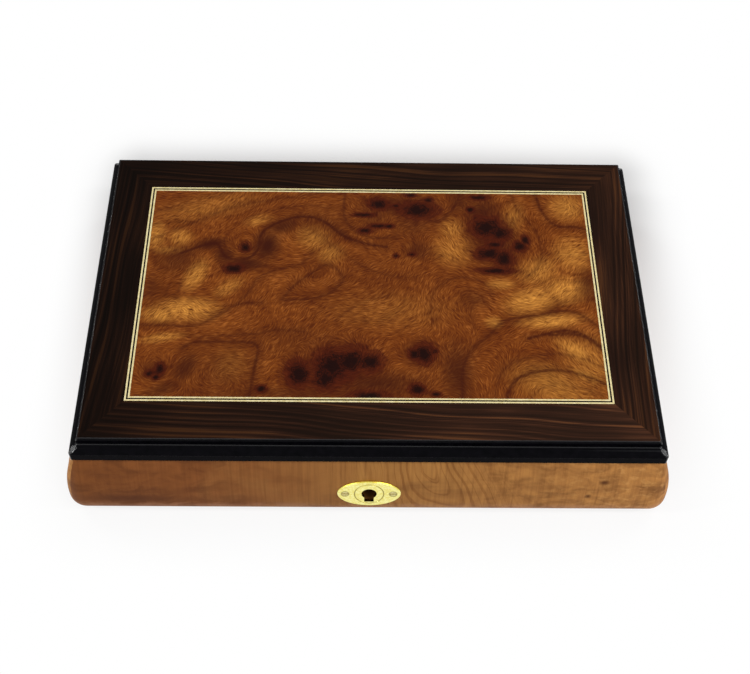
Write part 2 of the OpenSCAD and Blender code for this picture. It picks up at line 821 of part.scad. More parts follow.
// A slim ridged worm on an upright spindle, with two wings and a brake disc
module fly() {
    foot = bed_top + free_gap;
    ridge = worm_l / (2 * worm_turns);
    color("#8A8F96") in_movement() translate([fly_x, fly_y, 0]) {
        translate([0, 0, foot]) cylinder(h = arm_z + arm_t - foot, d = gov_arbor_d);
        translate([0, 0, gov_z - worm_l / 2]) rotate_extrude() polygon(concat(
            [[0, worm_l], [0, 0]],
            [for (i = [0 : 2 * worm_turns]) [worm_r - (i % 2 == 0 ? worm_deep : 0), i * ridge]]));
        translate([0, 0, fly_top - fly_t]) cylinder(h = fly_t, r = fly_r);
        translate([-fly_r, -fly_t / 2, fly_top - fly_t - fly_h]) cube([2 * fly_r, fly_t, fly_h]);
    }
}

// A rod in the bedplate's guide, with an arm that lies on the fly's disc while the lid is shut
module stop_pin() {
    foot = bed_top + skin;
    half = stop_arm_w / 2;
    color("#C9A24A") in_movement() {
        translate([stop_x, fly_y, foot]) cylinder(h = rim_z - pad_t - fit_gap - foot, d = stop_d);
        span([stop_x, fly_y - half, fly_top], [fly_x - fly_r + stop_lap, fly_y + half, fly_top + stop_arm_t]);
    }
}

// One bent sheet: a roof with a hole for the stop pin, on two legs
module movement_cover() {
    left = -bay_x + free_gap;
    right = music_x - free_gap;
    front = music_y + free_gap;
    back = bay_y - free_gap;
    color("#DDE6EA", 0.35) difference() {
        union() {
            span([left, front, cover_z - cover_t], [right, back, cover_z]);
            span([left, front, floor_z], [left + cover_t, back, cover_z]);
            span([right - cover_t, front, floor_z], [right, back, cover_z]);
        }
        in_movement() translate([stop_x, fly_y, floor_z]) cylinder(h = rim_z, d = stop_d + 2 * free_gap);
    }
}

// Knuckles of one leaf: every second one along the hinge, starting at the given one
module knuckles(first, low, high) {
    for (i = [first : 2 : knuckle_n - 1]) {
        start = -hinge_l / 2 + i * knuckle_l + knuckle_gap / 2;
        end = start + knuckle_l - knuckle_gap;
        difference() {
            union() {
                translate([start, hinge_y, rim_z]) along_x() cylinder(h = end - start, d = knuckle_d);
                span([start, leaf_back - skin, low], [end, hinge_y, high]);
            }
            translate([start - skin, hinge_y, rim_z]) along_x()
                cylinder(h = end - start + 2 * skin, d = hinge_pin_d + (first == 1 ? 2 * run_gap : 0));
        }
    }
}

module base_hinge_leaves() {
    color("#C9A24A") difference() {
        on_hinges() {
            span([-hinge_l / 2, leaf_front, rim_z - leaf_t], [hinge_l / 2, leaf_back, rim_z]);
            knuckles(0, rim_z - leaf_t, rim_z);
        }
        hinge_screw_set(0, fit_gap);
    }
}

module base_hinge_screws() {
    color("#C9A24A") hinge_screw_set(0, 0);
}

module lid_hinge_leaves() {
    color("#C9A24A") difference() {
        on_hinges() {
            span([-hinge_l / 2, leaf_front, rim_z], [hinge_l / 2, leaf_back, rim_z + leaf_t]);
            knuckles(1, rim_z, rim_z + leaf_t);
        }
        hinge_screw_set(180, fit_gap);
    }
}

module lid_hinge_screws() {
    color("#C9A24A") hinge_screw_set(180, 0);
}

module hinge_pins() {
    color("#D8B860") on_hinges() translate([-hinge_l / 2, hinge_y, rim_z]) along_x()
        cylinder(h = hinge_l, d = hinge_pin_d);
}

// A folded brass case with a top plate, ledges for the bolt and the keyhole in its front
module lock_case() {
    front = lock_front + lock_plate_t;
    back = lock_back - lock_plate_t;
    side = lock_w / 2 - lock_plate_t;
    half_slot = staple_d / 2 + staple_slot_gap;
    color("#C9A24A") difference() {
        union() {
            span([-lock_w / 2, lock_front, lock_z], [lock_w / 2, lock_back, lock_top]);
            span([-selvedge_w / 2, lock_front, selvedge_z], [selvedge_w / 2, lock_back, lock_top]);
        }
        span([-side, front, bolt_z], [side, back, selvedge_z]);
        span([-staple_x, front, lock_z + lock_plate_t], [staple_x, back, bolt_z + skin]);
        translate([0, lock_front, keyhole_z]) rotate([90, 0, 0]) keyhole(0, 3 * lock_plate_t);
        for (x = [-staple_x, staple_x]) translate([x - staple_t, lock_mid - half_slot, selvedge_z - skin])
            cube([2 * staple_t, 2 * half_slot, lock_plate_t + 2 * skin]);
        lock_screw_set(fit_gap);
    }
}

module lock_screws() {
    color("#C9A24A") lock_screw_set(0);
}

// A bar on the case's ledges with two hooked posts
module lock_bolt() {
    tips = [for (x = [-staple_x, staple_x]) x - staple_t / 2 - bolt_rest];
    half_t = lock_t / 2 - lock_plate_t - run_gap;
    low = bolt_z + run_gap;
    top = staple_hole_z + tongue / 2;
    color("#A8ACB0") difference() {
        union() {
            span([tips[0] - bolt_travel - bolt_post_w, lock_mid - half_t, low],
                [tips[1] - bolt_travel, lock_mid + half_t, bolt_z + bolt_h]);
            for (tip = tips) {
                post = tip - bolt_travel;
                span([post - bolt_post_w, lock_mid - tongue / 2, low], [post, lock_mid + tongue / 2, top]);
                span([post - fit_gap, lock_mid - tongue / 2, top - tongue],
                    [tip, lock_mid + tongue / 2, top]);
            }
        }
        translate([-bolt_notch_w / 2, lock_front, bolt_z - skin])
            cube([bolt_notch_w, lock_t, bolt_notch_h + skin]);
    }
}

// An oval plate on the wall's slope, pierced by the keyhole, with an engraved ring
module keyhole_plate() {
    edge = 0.35;
    ring_r = 6.5;
    ring_groove = 0.2;
    color("#E8DC8C") difference() {
        on_plate() translate([0, 0, -plate_seat]) difference() {
            union() {
                linear_extrude(plate_t - edge) oval(plate_w, plate_h);
                linear_extrude(plate_t - edge / 2) oval(plate_w - edge / 2, plate_h - edge / 2);
                linear_extrude(plate_t) oval(plate_w - 2 * edge, plate_h - 2 * edge);
            }
            keyhole(0, 4 * plate_t);
            translate([0, 0, plate_t]) rotate_extrude() translate([ring_r, 0]) circle(ring_groove, $fn = 16);
        }
        plate_screw_set(fit_gap);
    }
}

module keyhole_plate_screws() {
    color("#D8C878") plate_screw_set(0);
}

// A plate let into the underside of the lid, with two pierced staples that enter the lock
module link_plate() {
    color("#C9A24A") difference() {
        union() {
            translate([-link_w / 2, lock_mid - link_d / 2, rim_z]) cube([link_w, link_d, link_t]);
            for (x = [-staple_x, staple_x])
                translate([x - staple_t / 2, lock_mid - staple_d / 2, rim_z - staple_h])
                    cube([staple_t, staple_d, staple_h + link_t]);
        }
        for (x = [-staple_x, staple_x]) translate([x - staple_t, lock_mid, staple_hole_z]) along_x()
            cylinder(h = 2 * staple_t, d = staple_hole_d);
        link_screw_set(fit_gap);
    }
}

module link_plate_screws() {
    color("#C9A24A") link_screw_set(0);
}

// What is let into the underside of the lid: hinge leaves, their screws, the link plate and its screws
module lid_beds() {
    leaf_beds(rim_z - skin, rim_z + leaf_t);
    hinge_screw_set(180, fit_gap);
    span([-link_w / 2 - fit_gap, lock_mid - link_d / 2 - fit_gap, rim_z - skin],
        [link_w / 2 + fit_gap, lock_mid + link_d / 2 + fit_gap, rim_z + link_t]);
    link_screw_set(fit_gap);
}

module lid_board() {
    color("#8A6A48") difference() {
        span([-board_x, -board_y, rim_z], [board_x, board_y, veneer_z]);
        lid_beds();
    }
}

// Moulding section: across is measured outwards from the board's edge, up from the lid's underside.
// A rounded top edge, a short upright, a full curve down to the lip and a rounded lower edge
module moulding_section() {
    inward = [face_chord[1], -face_chord[0]] / norm(face_chord);
    middle = (face_top + face_foot) / 2 + inward * (face_r - face_rise);
    intersection() {
        translate([0, lip_h]) square([moulding_w, face_top[1] - lip_h]);
        translate(middle) circle(face_r);
    }
    square([moulding_w - lip_r, lip_h]);
    translate([0, lip_r]) square([moulding_w, lip_h - lip_r]);
    translate([moulding_w - lip_r, lip_r]) circle(lip_r);
    translate([0, face_top[1]]) square([bead_r, step_h - bead_r]);
    intersection() {
        translate([0, lid_h - bead_r]) square(bead_r);
        translate([0, lid_h - bead_r]) circle(bead_r);
    }
}

// What sanding takes off the curved face along a mitre, which is longer than the face by the root of 2
module mitre_facet() {
    top = [sqrt(2) * face_top[0], face_top[1]];
    foot = [sqrt(2) * face_foot[0], face_foot[1]];
    out = [top[1] - foot[1], foot[0] - top[0]] / norm(foot - top);
    lift = (1 - facet_share) * face_rise;
    rotate([90, 0, 0]) linear_extrude(2 * moulding_w, center = true) polygon([
        top + lift * out, foot + lift * out, foot + moulding_w * out, top + moulding_w * out]);
}

// One mitred moulding facing the front, for half the board's length and half its depth
module moulding(run, depth) {
    difference() {
        intersection() {
            translate([0, -depth, rim_z]) rotate([90, 0, -90])
                linear_extrude(2 * (run + moulding_w), center = true) moulding_section();
            mitre(run, depth, moulding_w + skin, rim_z, lid_z);
            translate([0, 0, rim_z]) linear_extrude(lid_h)
                round_rect(2 * (run + moulding_w), 2 * (depth + moulding_w), lid_corner_r);
        }
        translate([-run, -depth, rim_z]) rotate([0, 0, 225]) mitre_facet();
        translate([run, -depth, rim_z]) rotate([0, 0, -45]) mitre_facet();
    }
}

module front_moulding() {
    color("#0C0A0C") difference() {
        moulding(board_x, board_y);
        lid_beds();
    }
}

module back_moulding() {
    color("#0C0A0C") difference() {
        rotate([0, 0, 180]) moulding(board_x, board_y);
        lid_beds();
    }
}

module left_moulding() {
    color("#0C0A0C") rotate([0, 0, -90]) moulding(board_y, board_x);
}

module right_moulding() {
    color("#0C0A0C") rotate([0, 0, 90]) moulding(board_y, board_x);
}

// The board's and the inlaid rectangle's corners, in the same order, drawn in by the given amount
board_rect = [[-board_x, -board_y], [board_x, -board_y], [board_x, board_y], [-board_x, board_y]];
function inlay_rect(inset) = [
    [-panel_x + inset, panel_front + inset], [panel_x - inset, panel_front + inset],
    [panel_x - inset, panel_back - inset], [-panel_x + inset, panel_back - inset]];

// A flat veneer piece on the board, from its plan outline
module veneer(points) {
    translate([0, 0, veneer_z]) linear_extrude(veneer_t) polygon(points);
}

// One mitred border strip, from a corner of the board to the next one
module border(corner) {
    next = (corner + 1) % 4;
    inlay = inlay_rect(0);
    color("#34200F") veneer([board_rect[corner], board_rect[next], inlay[next], inlay[corner]]);
}

// A rectangular inlay line, so many lines in from the border
module inlay_line(step) {
    translate([0, 0, veneer_z]) linear_extrude(veneer_t) difference() {
        polygon(inlay_rect(step * line_w));
        polygon(inlay_rect((step + 1) * line_w));
    }
}

module front_border() {
    border(0);
}

module right_border() {
    border(1);
}

module back_border() {
    border(2);
}

module left_border() {
    border(3);
}

module outer_line() {
    color("#E0CF9A") inlay_line(0);
}

module middle_line() {
    color("#15100E") inlay_line(1);
}

module inner_line() {
    color("#E0CF9A") inlay_line(2);
}

module burl_panel() {
    color("#75431B") veneer(inlay_rect(3 * line_w));
}

module lid_lining() {
    x = bay_x - pad_gap;
    y = bay_y - pad_gap;
    color("#6E1F2B") span([-x, -y, rim_z - pad_t], [x, y, rim_z]);
}

front_wall();
back_wall();
left_wall();
right_wall();
bottom_panel();
bottom_screws();
feet();
floor_lining();
wall_lining();
long_divider();
music_divider();
tray_divider();
ring_rolls();
bedplate();
bedplate_screws();
bearing_brackets();
spring_barrel();
mainspring();
winding_arbor();
winding_key();
pinned_cylinder();
cylinder_arbor();
drive_pinion();
cylinder_gear();
comb();
comb_screws();
governor_frame();
governor_gear();
fly();
stop_pin();
movement_cover();
base_hinge_leaves();
base_hinge_screws();
lid_hinge_leaves();
lid_hinge_screws();
hinge_pins();
lock_case();
lock_screws();
lock_bolt();
keyhole_plate();
keyhole_plate_screws();
link_plate();
link_plate_screws();
lid_board();
front_moulding();
back_moulding();
left_moulding();
right_moulding();
front_border();
back_border();
left_border();
right_border();
outer_line();
middle_line();
inner_line();
burl_panel();
lid_lining();
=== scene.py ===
import math

import bpy
import numpy as np
from mathutils import Matrix, Vector


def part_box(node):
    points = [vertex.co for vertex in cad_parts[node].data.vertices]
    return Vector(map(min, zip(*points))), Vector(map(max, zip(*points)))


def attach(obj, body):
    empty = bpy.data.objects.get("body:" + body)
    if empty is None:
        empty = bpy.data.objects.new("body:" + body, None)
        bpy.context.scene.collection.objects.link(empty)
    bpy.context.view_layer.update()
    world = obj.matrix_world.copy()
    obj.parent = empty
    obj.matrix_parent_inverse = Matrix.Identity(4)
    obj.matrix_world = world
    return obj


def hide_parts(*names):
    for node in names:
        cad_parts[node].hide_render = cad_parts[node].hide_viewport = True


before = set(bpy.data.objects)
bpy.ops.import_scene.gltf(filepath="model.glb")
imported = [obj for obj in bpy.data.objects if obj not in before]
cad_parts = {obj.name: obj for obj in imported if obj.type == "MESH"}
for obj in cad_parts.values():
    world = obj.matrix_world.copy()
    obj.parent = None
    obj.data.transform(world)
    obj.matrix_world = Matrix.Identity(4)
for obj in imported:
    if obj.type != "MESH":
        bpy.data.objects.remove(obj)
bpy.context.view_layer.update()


# Base walls: four mitred softwood walls that swell outwards, faced with one flitch of figured
# elm veneer whose grain runs up the wall. The veneer is glued on, sanded and sprayed with a
# clear satin-gloss lacquer.
def colour(hex_code):
    """A linear RGBA colour from an sRGB hex code."""
    parts = [int(hex_code[i:i + 2], 16) / 255 for i in (1, 3, 5)]
    return [c / 12.92 if c <= 0.04045 else ((c + 0.055) / 1.055) ** 2.4 for c in parts] + [1]


def finish(name, **sockets):
    """A new material, with its shader's own sockets set, as material, node tree and shader."""
    material = bpy.data.materials.new(name)
    material.use_nodes = True
    shader = material.node_tree.nodes["Principled BSDF"]
    for socket, value in sockets.items():
        shader.inputs[socket.replace("_", " ")].default_value = value
    return material, material.node_tree, shader


def add(tree, kind, inputs=(), stops=(), **settings):
    """One node with its settings. Each input takes a value, a node (its first output) or an output."""
    node = tree.nodes.new("ShaderNode" + kind)
    for key, value in settings.items():
        setattr(node, key, value)
    for i, (place, hex_code) in enumerate(stops):
        ramp = node.color_ramp.elements
        stop = ramp[i] if i < 2 else ramp.new(place)
        stop.position, stop.color = place, colour(hex_code)
    for key, value in dict(inputs).items():
        socket = node.inputs[key] if isinstance(key, int) else next(
            s for s in node.inputs if s.enabled and s.name == key)
        if isinstance(value, bpy.types.Node):
            value = next(s for s in value.outputs if s.enabled)
        if isinstance(value, bpy.types.NodeSocket):
            tree.links.new(value, socket)
        else:
            socket.default_value = value
    return node


def join(tree, shader, **links):
    """Links nodes to the shader's sockets of those names."""
    for socket, node in links.items():
        tree.links.new(next(s for s in node.outputs if s.enabled), shader.inputs[socket.replace("_", " ")])


def dress(material, *names):
    """Gives CAD nodes that finish."""
    for name in names:
        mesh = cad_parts[name].data
        mesh.materials.clear()
        mesh.materials.append(material)


# In mm: the walls' top edge, the keyhole's middle, the veneer's length and a mark's reach through a wall
wall_top, keyhole_z, veneer_run, wall_deep = 36, 17.4, 260, 400


def wall_veneer(name, turn):
    """Elm veneer with the grain up the wall, for a wall that runs along X or, turned, along Y."""
    material, tree, shader = finish(name, Roughness=0.5, Specular_IOR_Level=0, Coat_Weight=0.16,
                                    Coat_Roughness=0.12)
    place = add(tree, "TexCoord").outputs["Object"]
    wall = add(tree, "Mapping", {"Vector": place, "Rotation": (0, 0, turn), "Scale": (1000, 1000, 1000)})
    axes = add(tree, "SeparateXYZ", {"Vector": wall})
    along, height = axes.outputs["X"], axes.outputs["Z"]
    # Growth rings: nested loops that hang from the top edge beside the lock, and lean away in its flank
    drift = add(tree, "TexNoise", {"Vector": wall, "Scale": 1 / 22, "Detail": 2})
    down = add(tree, "Math", {0: wall_top, 1: height}, operation="SUBTRACT")
    flank = add(tree, "MapRange", {"Value": along, "From Min": 16, "From Max": 40, "To Min": 0.12,
                                   "To Max": 0.5}, interpolation_type="SMOOTHSTEP")
    lean = add(tree, "Math", {0: down, 1: flank}, operation="MULTIPLY")
    across = add(tree, "Math", {0: along, 1: lean}, operation="SUBTRACT")
    across = add(tree, "Math", {0: drift, 1: 6, 2: across}, operation="MULTIPLY_ADD")
    across = add(tree, "Math", {0: across, 1: -28}, operation="ADD")
    tall = add(tree, "Math", {0: down, 1: 0.3}, operation="MULTIPLY")
    loop = add(tree, "CombineXYZ", {"X": across, "Y": tall})
    loop = add(tree, "VectorMath", {0: loop}, operation="LENGTH").outputs["Value"]
    ring = add(tree, "TexNoise", {"W": loop, "Scale": 0.34, "Detail": 1, "Roughness": 0.4},
               noise_dimensions="1D")
    ring_line = add(tree, "Math", {0: ring, 1: 0.5}, operation="SUBTRACT")
    ring_line = add(tree, "Math", {0: ring_line}, operation="ABSOLUTE")
    ring_line = add(tree, "MapRange", {"Value": ring_line, "From Max": 0.055, "To Min": 1, "To Max": 0},
                    interpolation_type="SMOOTHSTEP")
    near = add(tree, "MapRange", {"Value": loop, "From Min": 12, "From Max": 40, "To Min": 0.42,
                                  "To Max": 0.04}, interpolation_type="SMOOTHSTEP")
    ring_line = add(tree, "Math", {0: ring_line, 1: near}, operation="MULTIPLY")
    # Brown at the left end, straw coloured up to the lock, honey coloured at the right
    cloud = add(tree, "TexNoise", {"Vector": wall, "Scale": 1 / 26, "Detail": 2, "Distortion": 0.8})
    spread = add(tree, "Math", {0: along, 1: 1 / veneer_run, 2: 0.5}, operation="MULTIPLY_ADD")
    tone = add(tree, "Math", {0: spread, 1: -0.15}, operation="ADD")
    tone = add(tree, "Math", {0: cloud, 1: 0.3, 2: tone}, operation="MULTIPLY_ADD")
    ground = add(tree, "ValToRGB", {"Fac": tone}, [
        (0.0, "#7A4720"), (1.0, "#B47C42"), (0.22, "#824D25"), (0.36, "#905F31"), (0.55, "#A2713A"),
        (0.75, "#AE783F")])
    lined = add(tree, "Mix", {"Factor": ring_line, "A": ground, "B": colour("#6A3810")}, data_type="RGBA")
    # Smoky brown blotches about 40 mm long, and one low at the left end
    smoke = add(tree, "Mapping", {"Vector": wall, "Location": (7, 0, 3), "Scale": (0.022, 0.022, 0.075)})
    smoke = add(tree, "TexNoise", {"Vector": smoke, "Scale": 1, "Detail": 3, "Distortion": 0.4})
    smoke = add(tree, "MapRange", {"Value": smoke, "From Min": 0.48, "From Max": 0.74, "To Max": 0.45},
                interpolation_type="SMOOTHSTEP")
    blot = add(tree, "Mapping", {"Vector": wall, "Location": (-107, 0, 12.5), "Scale": (34, wall_deep, 5.5)},
               vector_type="TEXTURE")
    blot = add(tree, "VectorMath", {0: blot}, operation="LENGTH").outputs["Value"]
    blot = add(tree, "MapRange", {"Value": blot, "From Min": 1, "From Max": 0.1, "To Max": 0.8},
               interpolation_type="SMOOTHSTEP")
    smoke = add(tree, "Math", {0: smoke, 1: blot}, operation="MAXIMUM")
    smoked = add(tree, "Mix", {"Factor": smoke, "A": lined, "B": colour("#4E2814")}, data_type="RGBA")
    # Mottled figure towards both ends, in patches 4 to 10 mm across, and streaks up the wall 1 to 3 mm apart
    mottle = add(tree, "Mapping", {"Vector": wall, "Scale": (0.09, 0.09, 0.16)})
    mottle = add(tree, "TexNoise", {"Vector": mottle, "Scale": 1, "Detail": 3, "Roughness": 0.6,
                                    "Distortion": 0.7})
    ends = add(tree, "Math", {0: along, 1: 5}, operation="ADD")
    ends = add(tree, "Math", {0: ends}, operation="ABSOLUTE")
    ends = add(tree, "MapRange", {"Value": ends, "From Min": 45, "From Max": 60, "To Min": 0.1,
                                  "To Max": 0.45})
    mottle = add(tree, "MapRange", {"Value": mottle, "From Min": 0.38, "From Max": 0.72},
                 interpolation_type="SMOOTHSTEP")
    patches = add(tree, "Math", {0: mottle, 1: ends}, operation="MULTIPLY")
    mottled = add(tree, "Mix", {"Factor": patches, "A": smoked, "B": colour("#4E2911")}, data_type="RGBA")
    streak = add(tree, "Mapping", {"Vector": wall, "Scale": (0.8, 0.02, 0.02)})
    streak = add(tree, "TexNoise", {"Vector": streak, "Scale": 1, "Detail": 3, "Roughness": 0.7})
    streak = add(tree, "MapRange", {"Value": streak, "From Min": 0.4, "From Max": 0.75, "To Max": 0.42})
    streaked = add(tree, "Mix", {"Factor": streak, "A": mottled, "B": colour("#5C3316")}, data_type="RGBA")
    # Golden flecks at the right end, and a painted pale reflection of the white floor along the lower edge
    fleck = add(tree, "Mapping", {"Vector": wall, "Scale": (0.3, 0.3, 0.45)})
    fleck = add(tree, "TexNoise", {"Vector": fleck, "Scale": 1, "Detail": 3})
    fleck = add(tree, "MapRange", {"Value": fleck, "From Min": 0.52, "From Max": 0.7})
    right = add(tree, "MapRange", {"Value": along, "From Min": 60, "From Max": 115, "To Max": 0.5})
    fleck = add(tree, "Math", {0: fleck, 1: right}, operation="MULTIPLY")
    flecked = add(tree, "Mix", {"Factor": fleck, "A": streaked, "B": colour("#C79355")}, data_type="RGBA")
    # Painted reflection: a pale pinkish band below about 11 mm, ragged by the mottle, stands in for the
    # floor's light on the lower edge
    floor_reflection = add(tree, "Math", {0: mottle, 1: 2, 2: height}, operation="MULTIPLY_ADD")
    floor_reflection = add(tree, "MapRange", {"Value": floor_reflection, "From Min": 11, "From Max": 4, "To Max": 0.5},
              interpolation_type="SMOOTHSTEP")
    floor_reflected = add(tree, "Mix", {"Factor": floor_reflection, "A": flecked, "B": colour("#B98F74")}, data_type="RGBA")
    # Two pin knots near the right end, and painted shade: the keyhole's bore painted nearly black, where it
    # lies in shadow
    marked = floor_reflected
    for centre, size, soft, tint in [((104, 0, 25), (3.2, wall_deep, 2), 0, "#3E1808"),
                                     ((98, 0, 16), (2.4, wall_deep, 2.2), 0, "#3E1808"),
                                     ((0, -85, keyhole_z), (7, 14, 9), 0.6, "#080403")]:
        mark = add(tree, "Mapping", {"Vector": wall, "Location": centre, "Scale": size},
                   vector_type="TEXTURE")
        mark = add(tree, "VectorMath", {0: mark}, operation="LENGTH").outputs["Value"]
        mark = add(tree, "MapRange", {"Value": mark, "From Min": 1, "From Max": soft, "To Max": 0.95},
                   interpolation_type="SMOOTHSTEP")
        marked = add(tree, "Mix", {"Factor": mark, "A": marked, "B": colour(tint)}, data_type="RGBA")
    pore = add(tree, "Mapping", {"Vector": wall, "Scale": (2.2, 0.3, 0.3)})
    pore = add(tree, "TexNoise", {"Vector": pore, "Scale": 1, "Detail": 3})
    bump = add(tree, "Bump", {"Height": pore, "Strength": 0.03, "Distance": 0.0003})
    join(tree, shader, Base_Color=marked, Normal=bump)
    return material


dress(wall_veneer("elm_veneer_front", 0), "front_wall", "back_wall")
dress(wall_veneer("elm_veneer_side", math.pi / 2), "left_wall", "right_wall")


# Bottom panel: sealed birch plywood held up against the walls by steel screws, standing on four
# moulded rubber feet.
# Birch plywood, sanded and sealed: pale fibres along the box, with little shine
birch, tree, shader = finish("birch_plywood", Roughness=0.55)
place = add(tree, "TexCoord").outputs["Object"]
grain = add(tree, "Mapping", {"Vector": place, "Scale": (12, 900, 900)})
fibre = add(tree, "TexNoise", {"Vector": grain, "Scale": 1, "Detail": 5, "Roughness": 0.6})
tint = add(tree, "ValToRGB", {"Fac": fibre}, [(0.3, "#B98A58"), (0.7, "#D6AE7C")])
bump = add(tree, "Bump", {"Height": fibre, "Strength": 0.1, "Distance": 0.0003})
join(tree, shader, Base_Color=tint, Normal=bump)
dress(birch, "bottom_panel", "lid_board")

# Turned steel: a fine uneven polish that breaks up its reflections
steel, tree, shader = finish("turned_steel", Metallic=1)
place = add(tree, "TexCoord").outputs["Object"]
streak = add(tree, "TexNoise", {"Vector": place, "Scale": 900, "Detail": 3})
join(tree, shader,
     Base_Color=add(tree, "ValToRGB", {"Fac": streak}, [(0.3, "#A9ABAE"), (0.7, "#C6C7C9")]),
     Roughness=add(tree, "MapRange", {"Value": streak, "To Min": 0.2, "To Max": 0.4}))
dress(steel, "bottom_screws", "bedplate_screws", "winding_arbor", "cylinder_arbor", "comb", "comb_screws",
      "mainspring", "lock_bolt", "fly")

# Moulded rubber: nearly black and matt, finely pebbled
rubber, tree, shader = finish("moulded_rubber", Roughness=0.75)
place = add(tree, "TexCoord").outputs["Object"]
pebble = add(tree, "TexNoise", {"Vector": place, "Scale": 1500, "Detail": 2})
join(tree, shader, Base_Color=add(tree, "ValToRGB", {"Fac": pebble}, [(0.3, "#1E1B1A"), (0.7, "#2D2927")]),
     Normal=add(tree, "Bump", {"Height": pebble, "Strength": 0.2, "Distance": 0.0002}))
dress(rubber, "feet")


# Linings and dividers: wine-red flocked velvet on card, glued to the floor, the walls and the
# dividers of the trays.
# Flocked velvet: a deep red that pales where the pile is brushed or seen along the surface
velvet, tree, shader = finish("flocked_velvet", Roughness=0.9, Sheen_Weight=0.6, Sheen_Roughness=0.4,
                              Specular_IOR_Level=0.1)
place = add(tree, "TexCoord").outputs["Object"]
# Brushed patches about 15 mm across, and pile drawn at 0.8 mm, coarser than real flock so that it shows
nap = add(tree, "TexNoise", {"Vector": place, "Scale": 66, "Detail": 3, "Distortion": 0.4})
pile = add(tree, "TexNoise", {"Vector": place, "Scale": 1250, "Detail": 2})
tone = add(tree, "Math", {0: pile, 1: 0.35, 2: nap}, operation="MULTIPLY_ADD")
shader.inputs["Sheen Tint"].default_value = colour("#C0606A")
join(tree, shader,
     Base_Color=add(tree, "ValToRGB", {"Fac": tone}, [(0.4, "#561320"), (1.0, "#70202D")]),
     Normal=add(tree, "Bump", {"Height": pile, "Strength": 0.35, "Distance": 0.0004}))
dress(velvet, "floor_lining", "wall_lining", "long_divider", "music_divider", "tray_divider")


# Ring rolls: six soft foam rolls in a velvet sleeve, laid side by side so that rings stand
# between them.
def deselect():
    bpy.ops.object.select_all(action="DESELECT")


def soft_cloth(piece, cap, held=None):
    """Swells a closed piece by air pressure in a short cloth run; each point moves by the cap at most, and
    the held points stay."""
    rest = [v.co.copy() for v in piece.data.vertices]
    cloth = piece.modifiers.new("pressure", "CLOTH")
    cloth.settings.use_pressure = True
    cloth.settings.uniform_pressure_force = 4
    cloth.settings.effector_weights.gravity = 0
    if held:
        group = piece.vertex_groups.new(name="held")
        group.add(held, 1, "REPLACE")
        cloth.settings.vertex_group_mass = "held"
    for step in range(1, 21):
        bpy.context.scene.frame_set(step)
    bpy.context.view_layer.objects.active = piece
    bpy.ops.object.modifier_apply(modifier="pressure")
    bpy.context.scene.frame_set(1)
    piece.vertex_groups.clear()
    for v, co in zip(piece.data.vertices, rest):
        move = v.co - co
        if move.length > cap:
            v.co = co + move * (cap / move.length)


def finer_skin(piece):
    """Subdivides the active piece once and shades it smooth."""
    finer = piece.modifiers.new("finer", "SUBSURF")
    finer.levels = finer.render_levels = 1
    bpy.ops.object.modifier_apply(modifier="finer")
    bpy.ops.object.shade_smooth()


roll_low, roll_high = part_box("ring_rolls")
roll_count = 6
# Each roll starts short of its neighbours, its ends and its top, and the cloth run swells it
roll_side, roll_end, roll_top, roll_swell = 0.0009, 0.001, 0.0005, 0.0008
end_round, end_slack, voxel = 0.0025, 0.0002, 0.0018
roll_pitch = (roll_high.y - roll_low.y) / roll_count
roll_r = roll_pitch / 2 - roll_side
roll_middle = Vector(((roll_low.x + roll_high.x) / 2, roll_low.y + roll_pitch / 2,
                      (roll_low.z + roll_high.z) / 2))
deselect()
bpy.ops.mesh.primitive_cylinder_add(vertices=28, radius=roll_r, depth=roll_high.x - roll_low.x - 2 * roll_end,
                                    location=roll_middle, rotation=(0, math.pi / 2, 0))
roll = bpy.context.object
bpy.ops.object.transform_apply(location=True, rotation=True, scale=True)
for v in roll.data.vertices:
    v.co.z = min(max(v.co.z, roll_low.z), roll_high.z - roll_top)
bevel = roll.modifiers.new("ends", "BEVEL")
bevel.width, bevel.segments = end_round, 3
bevel.limit_method, bevel.angle_limit = "ANGLE", math.radians(60)
bpy.ops.object.modifier_apply(modifier="ends")
roll.data.remesh_voxel_size = voxel
bpy.ops.object.voxel_remesh()
soft_cloth(roll, roll_swell)
for v in roll.data.vertices:
    # The foam bulges unevenly along the sleeve
    swell = 1 + 0.02 * math.sin(v.co.x * 260) * math.sin(v.co.x * 97 + 1)
    v.co.z = min(max(v.co.z, roll_low.z), roll_middle.z + (v.co.z - roll_middle.z) * swell)
    v.co.x = min(max(v.co.x, roll_low.x + end_slack), roll_high.x - end_slack)
finer_skin(roll)
rolls = [roll]
for i in range(1, roll_count):
    copy = roll.copy()
    copy.data = roll.data.copy()
    # Every other roll is turned end for end
    turn = -1 if i % 2 else 1
    for v in copy.data.vertices:
        v.co.x = roll_middle.x + turn * (v.co.x - roll_middle.x)
        v.co.y = roll_middle.y + turn * (v.co.y - roll_middle.y) + i * roll_pitch
    bpy.context.scene.collection.objects.link(copy)
    rolls.append(copy)
deselect()
for roll in rolls:
    roll.select_set(True)
bpy.context.view_layer.objects.active = rolls[0]
bpy.ops.object.join()
ring_rolls = bpy.context.object
ring_rolls.name = "ring_roll_set"
ring_rolls.data.materials.append(velvet)
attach(ring_rolls, "base")
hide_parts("ring_rolls")


# Music movement: a die-cast bedplate on four feet with a brass barrel, pinned cylinder, gears and
# a steel comb, under a clear acrylic cover.
# Die-cast zinc: dull grey with a faintly pebbled skin
zinc, tree, shader = finish("cast_zinc", Metallic=0.9)
place = add(tree, "TexCoord").outputs["Object"]
skin = add(tree, "TexNoise", {"Vector": place, "Scale": 700, "Detail": 4})
join(tree, shader, Base_Color=add(tree, "ValToRGB", {"Fac": skin}, [(0.3, "#A5A39B"), (0.7, "#BFBDB4")]),
     Roughness=add(tree, "MapRange", {"Value": skin, "To Min": 0.4, "To Max": 0.6}),
     Normal=add(tree, "Bump", {"Height": skin, "Strength": 0.15, "Distance": 0.0002}))
dress(zinc, "bedplate", "governor_frame")

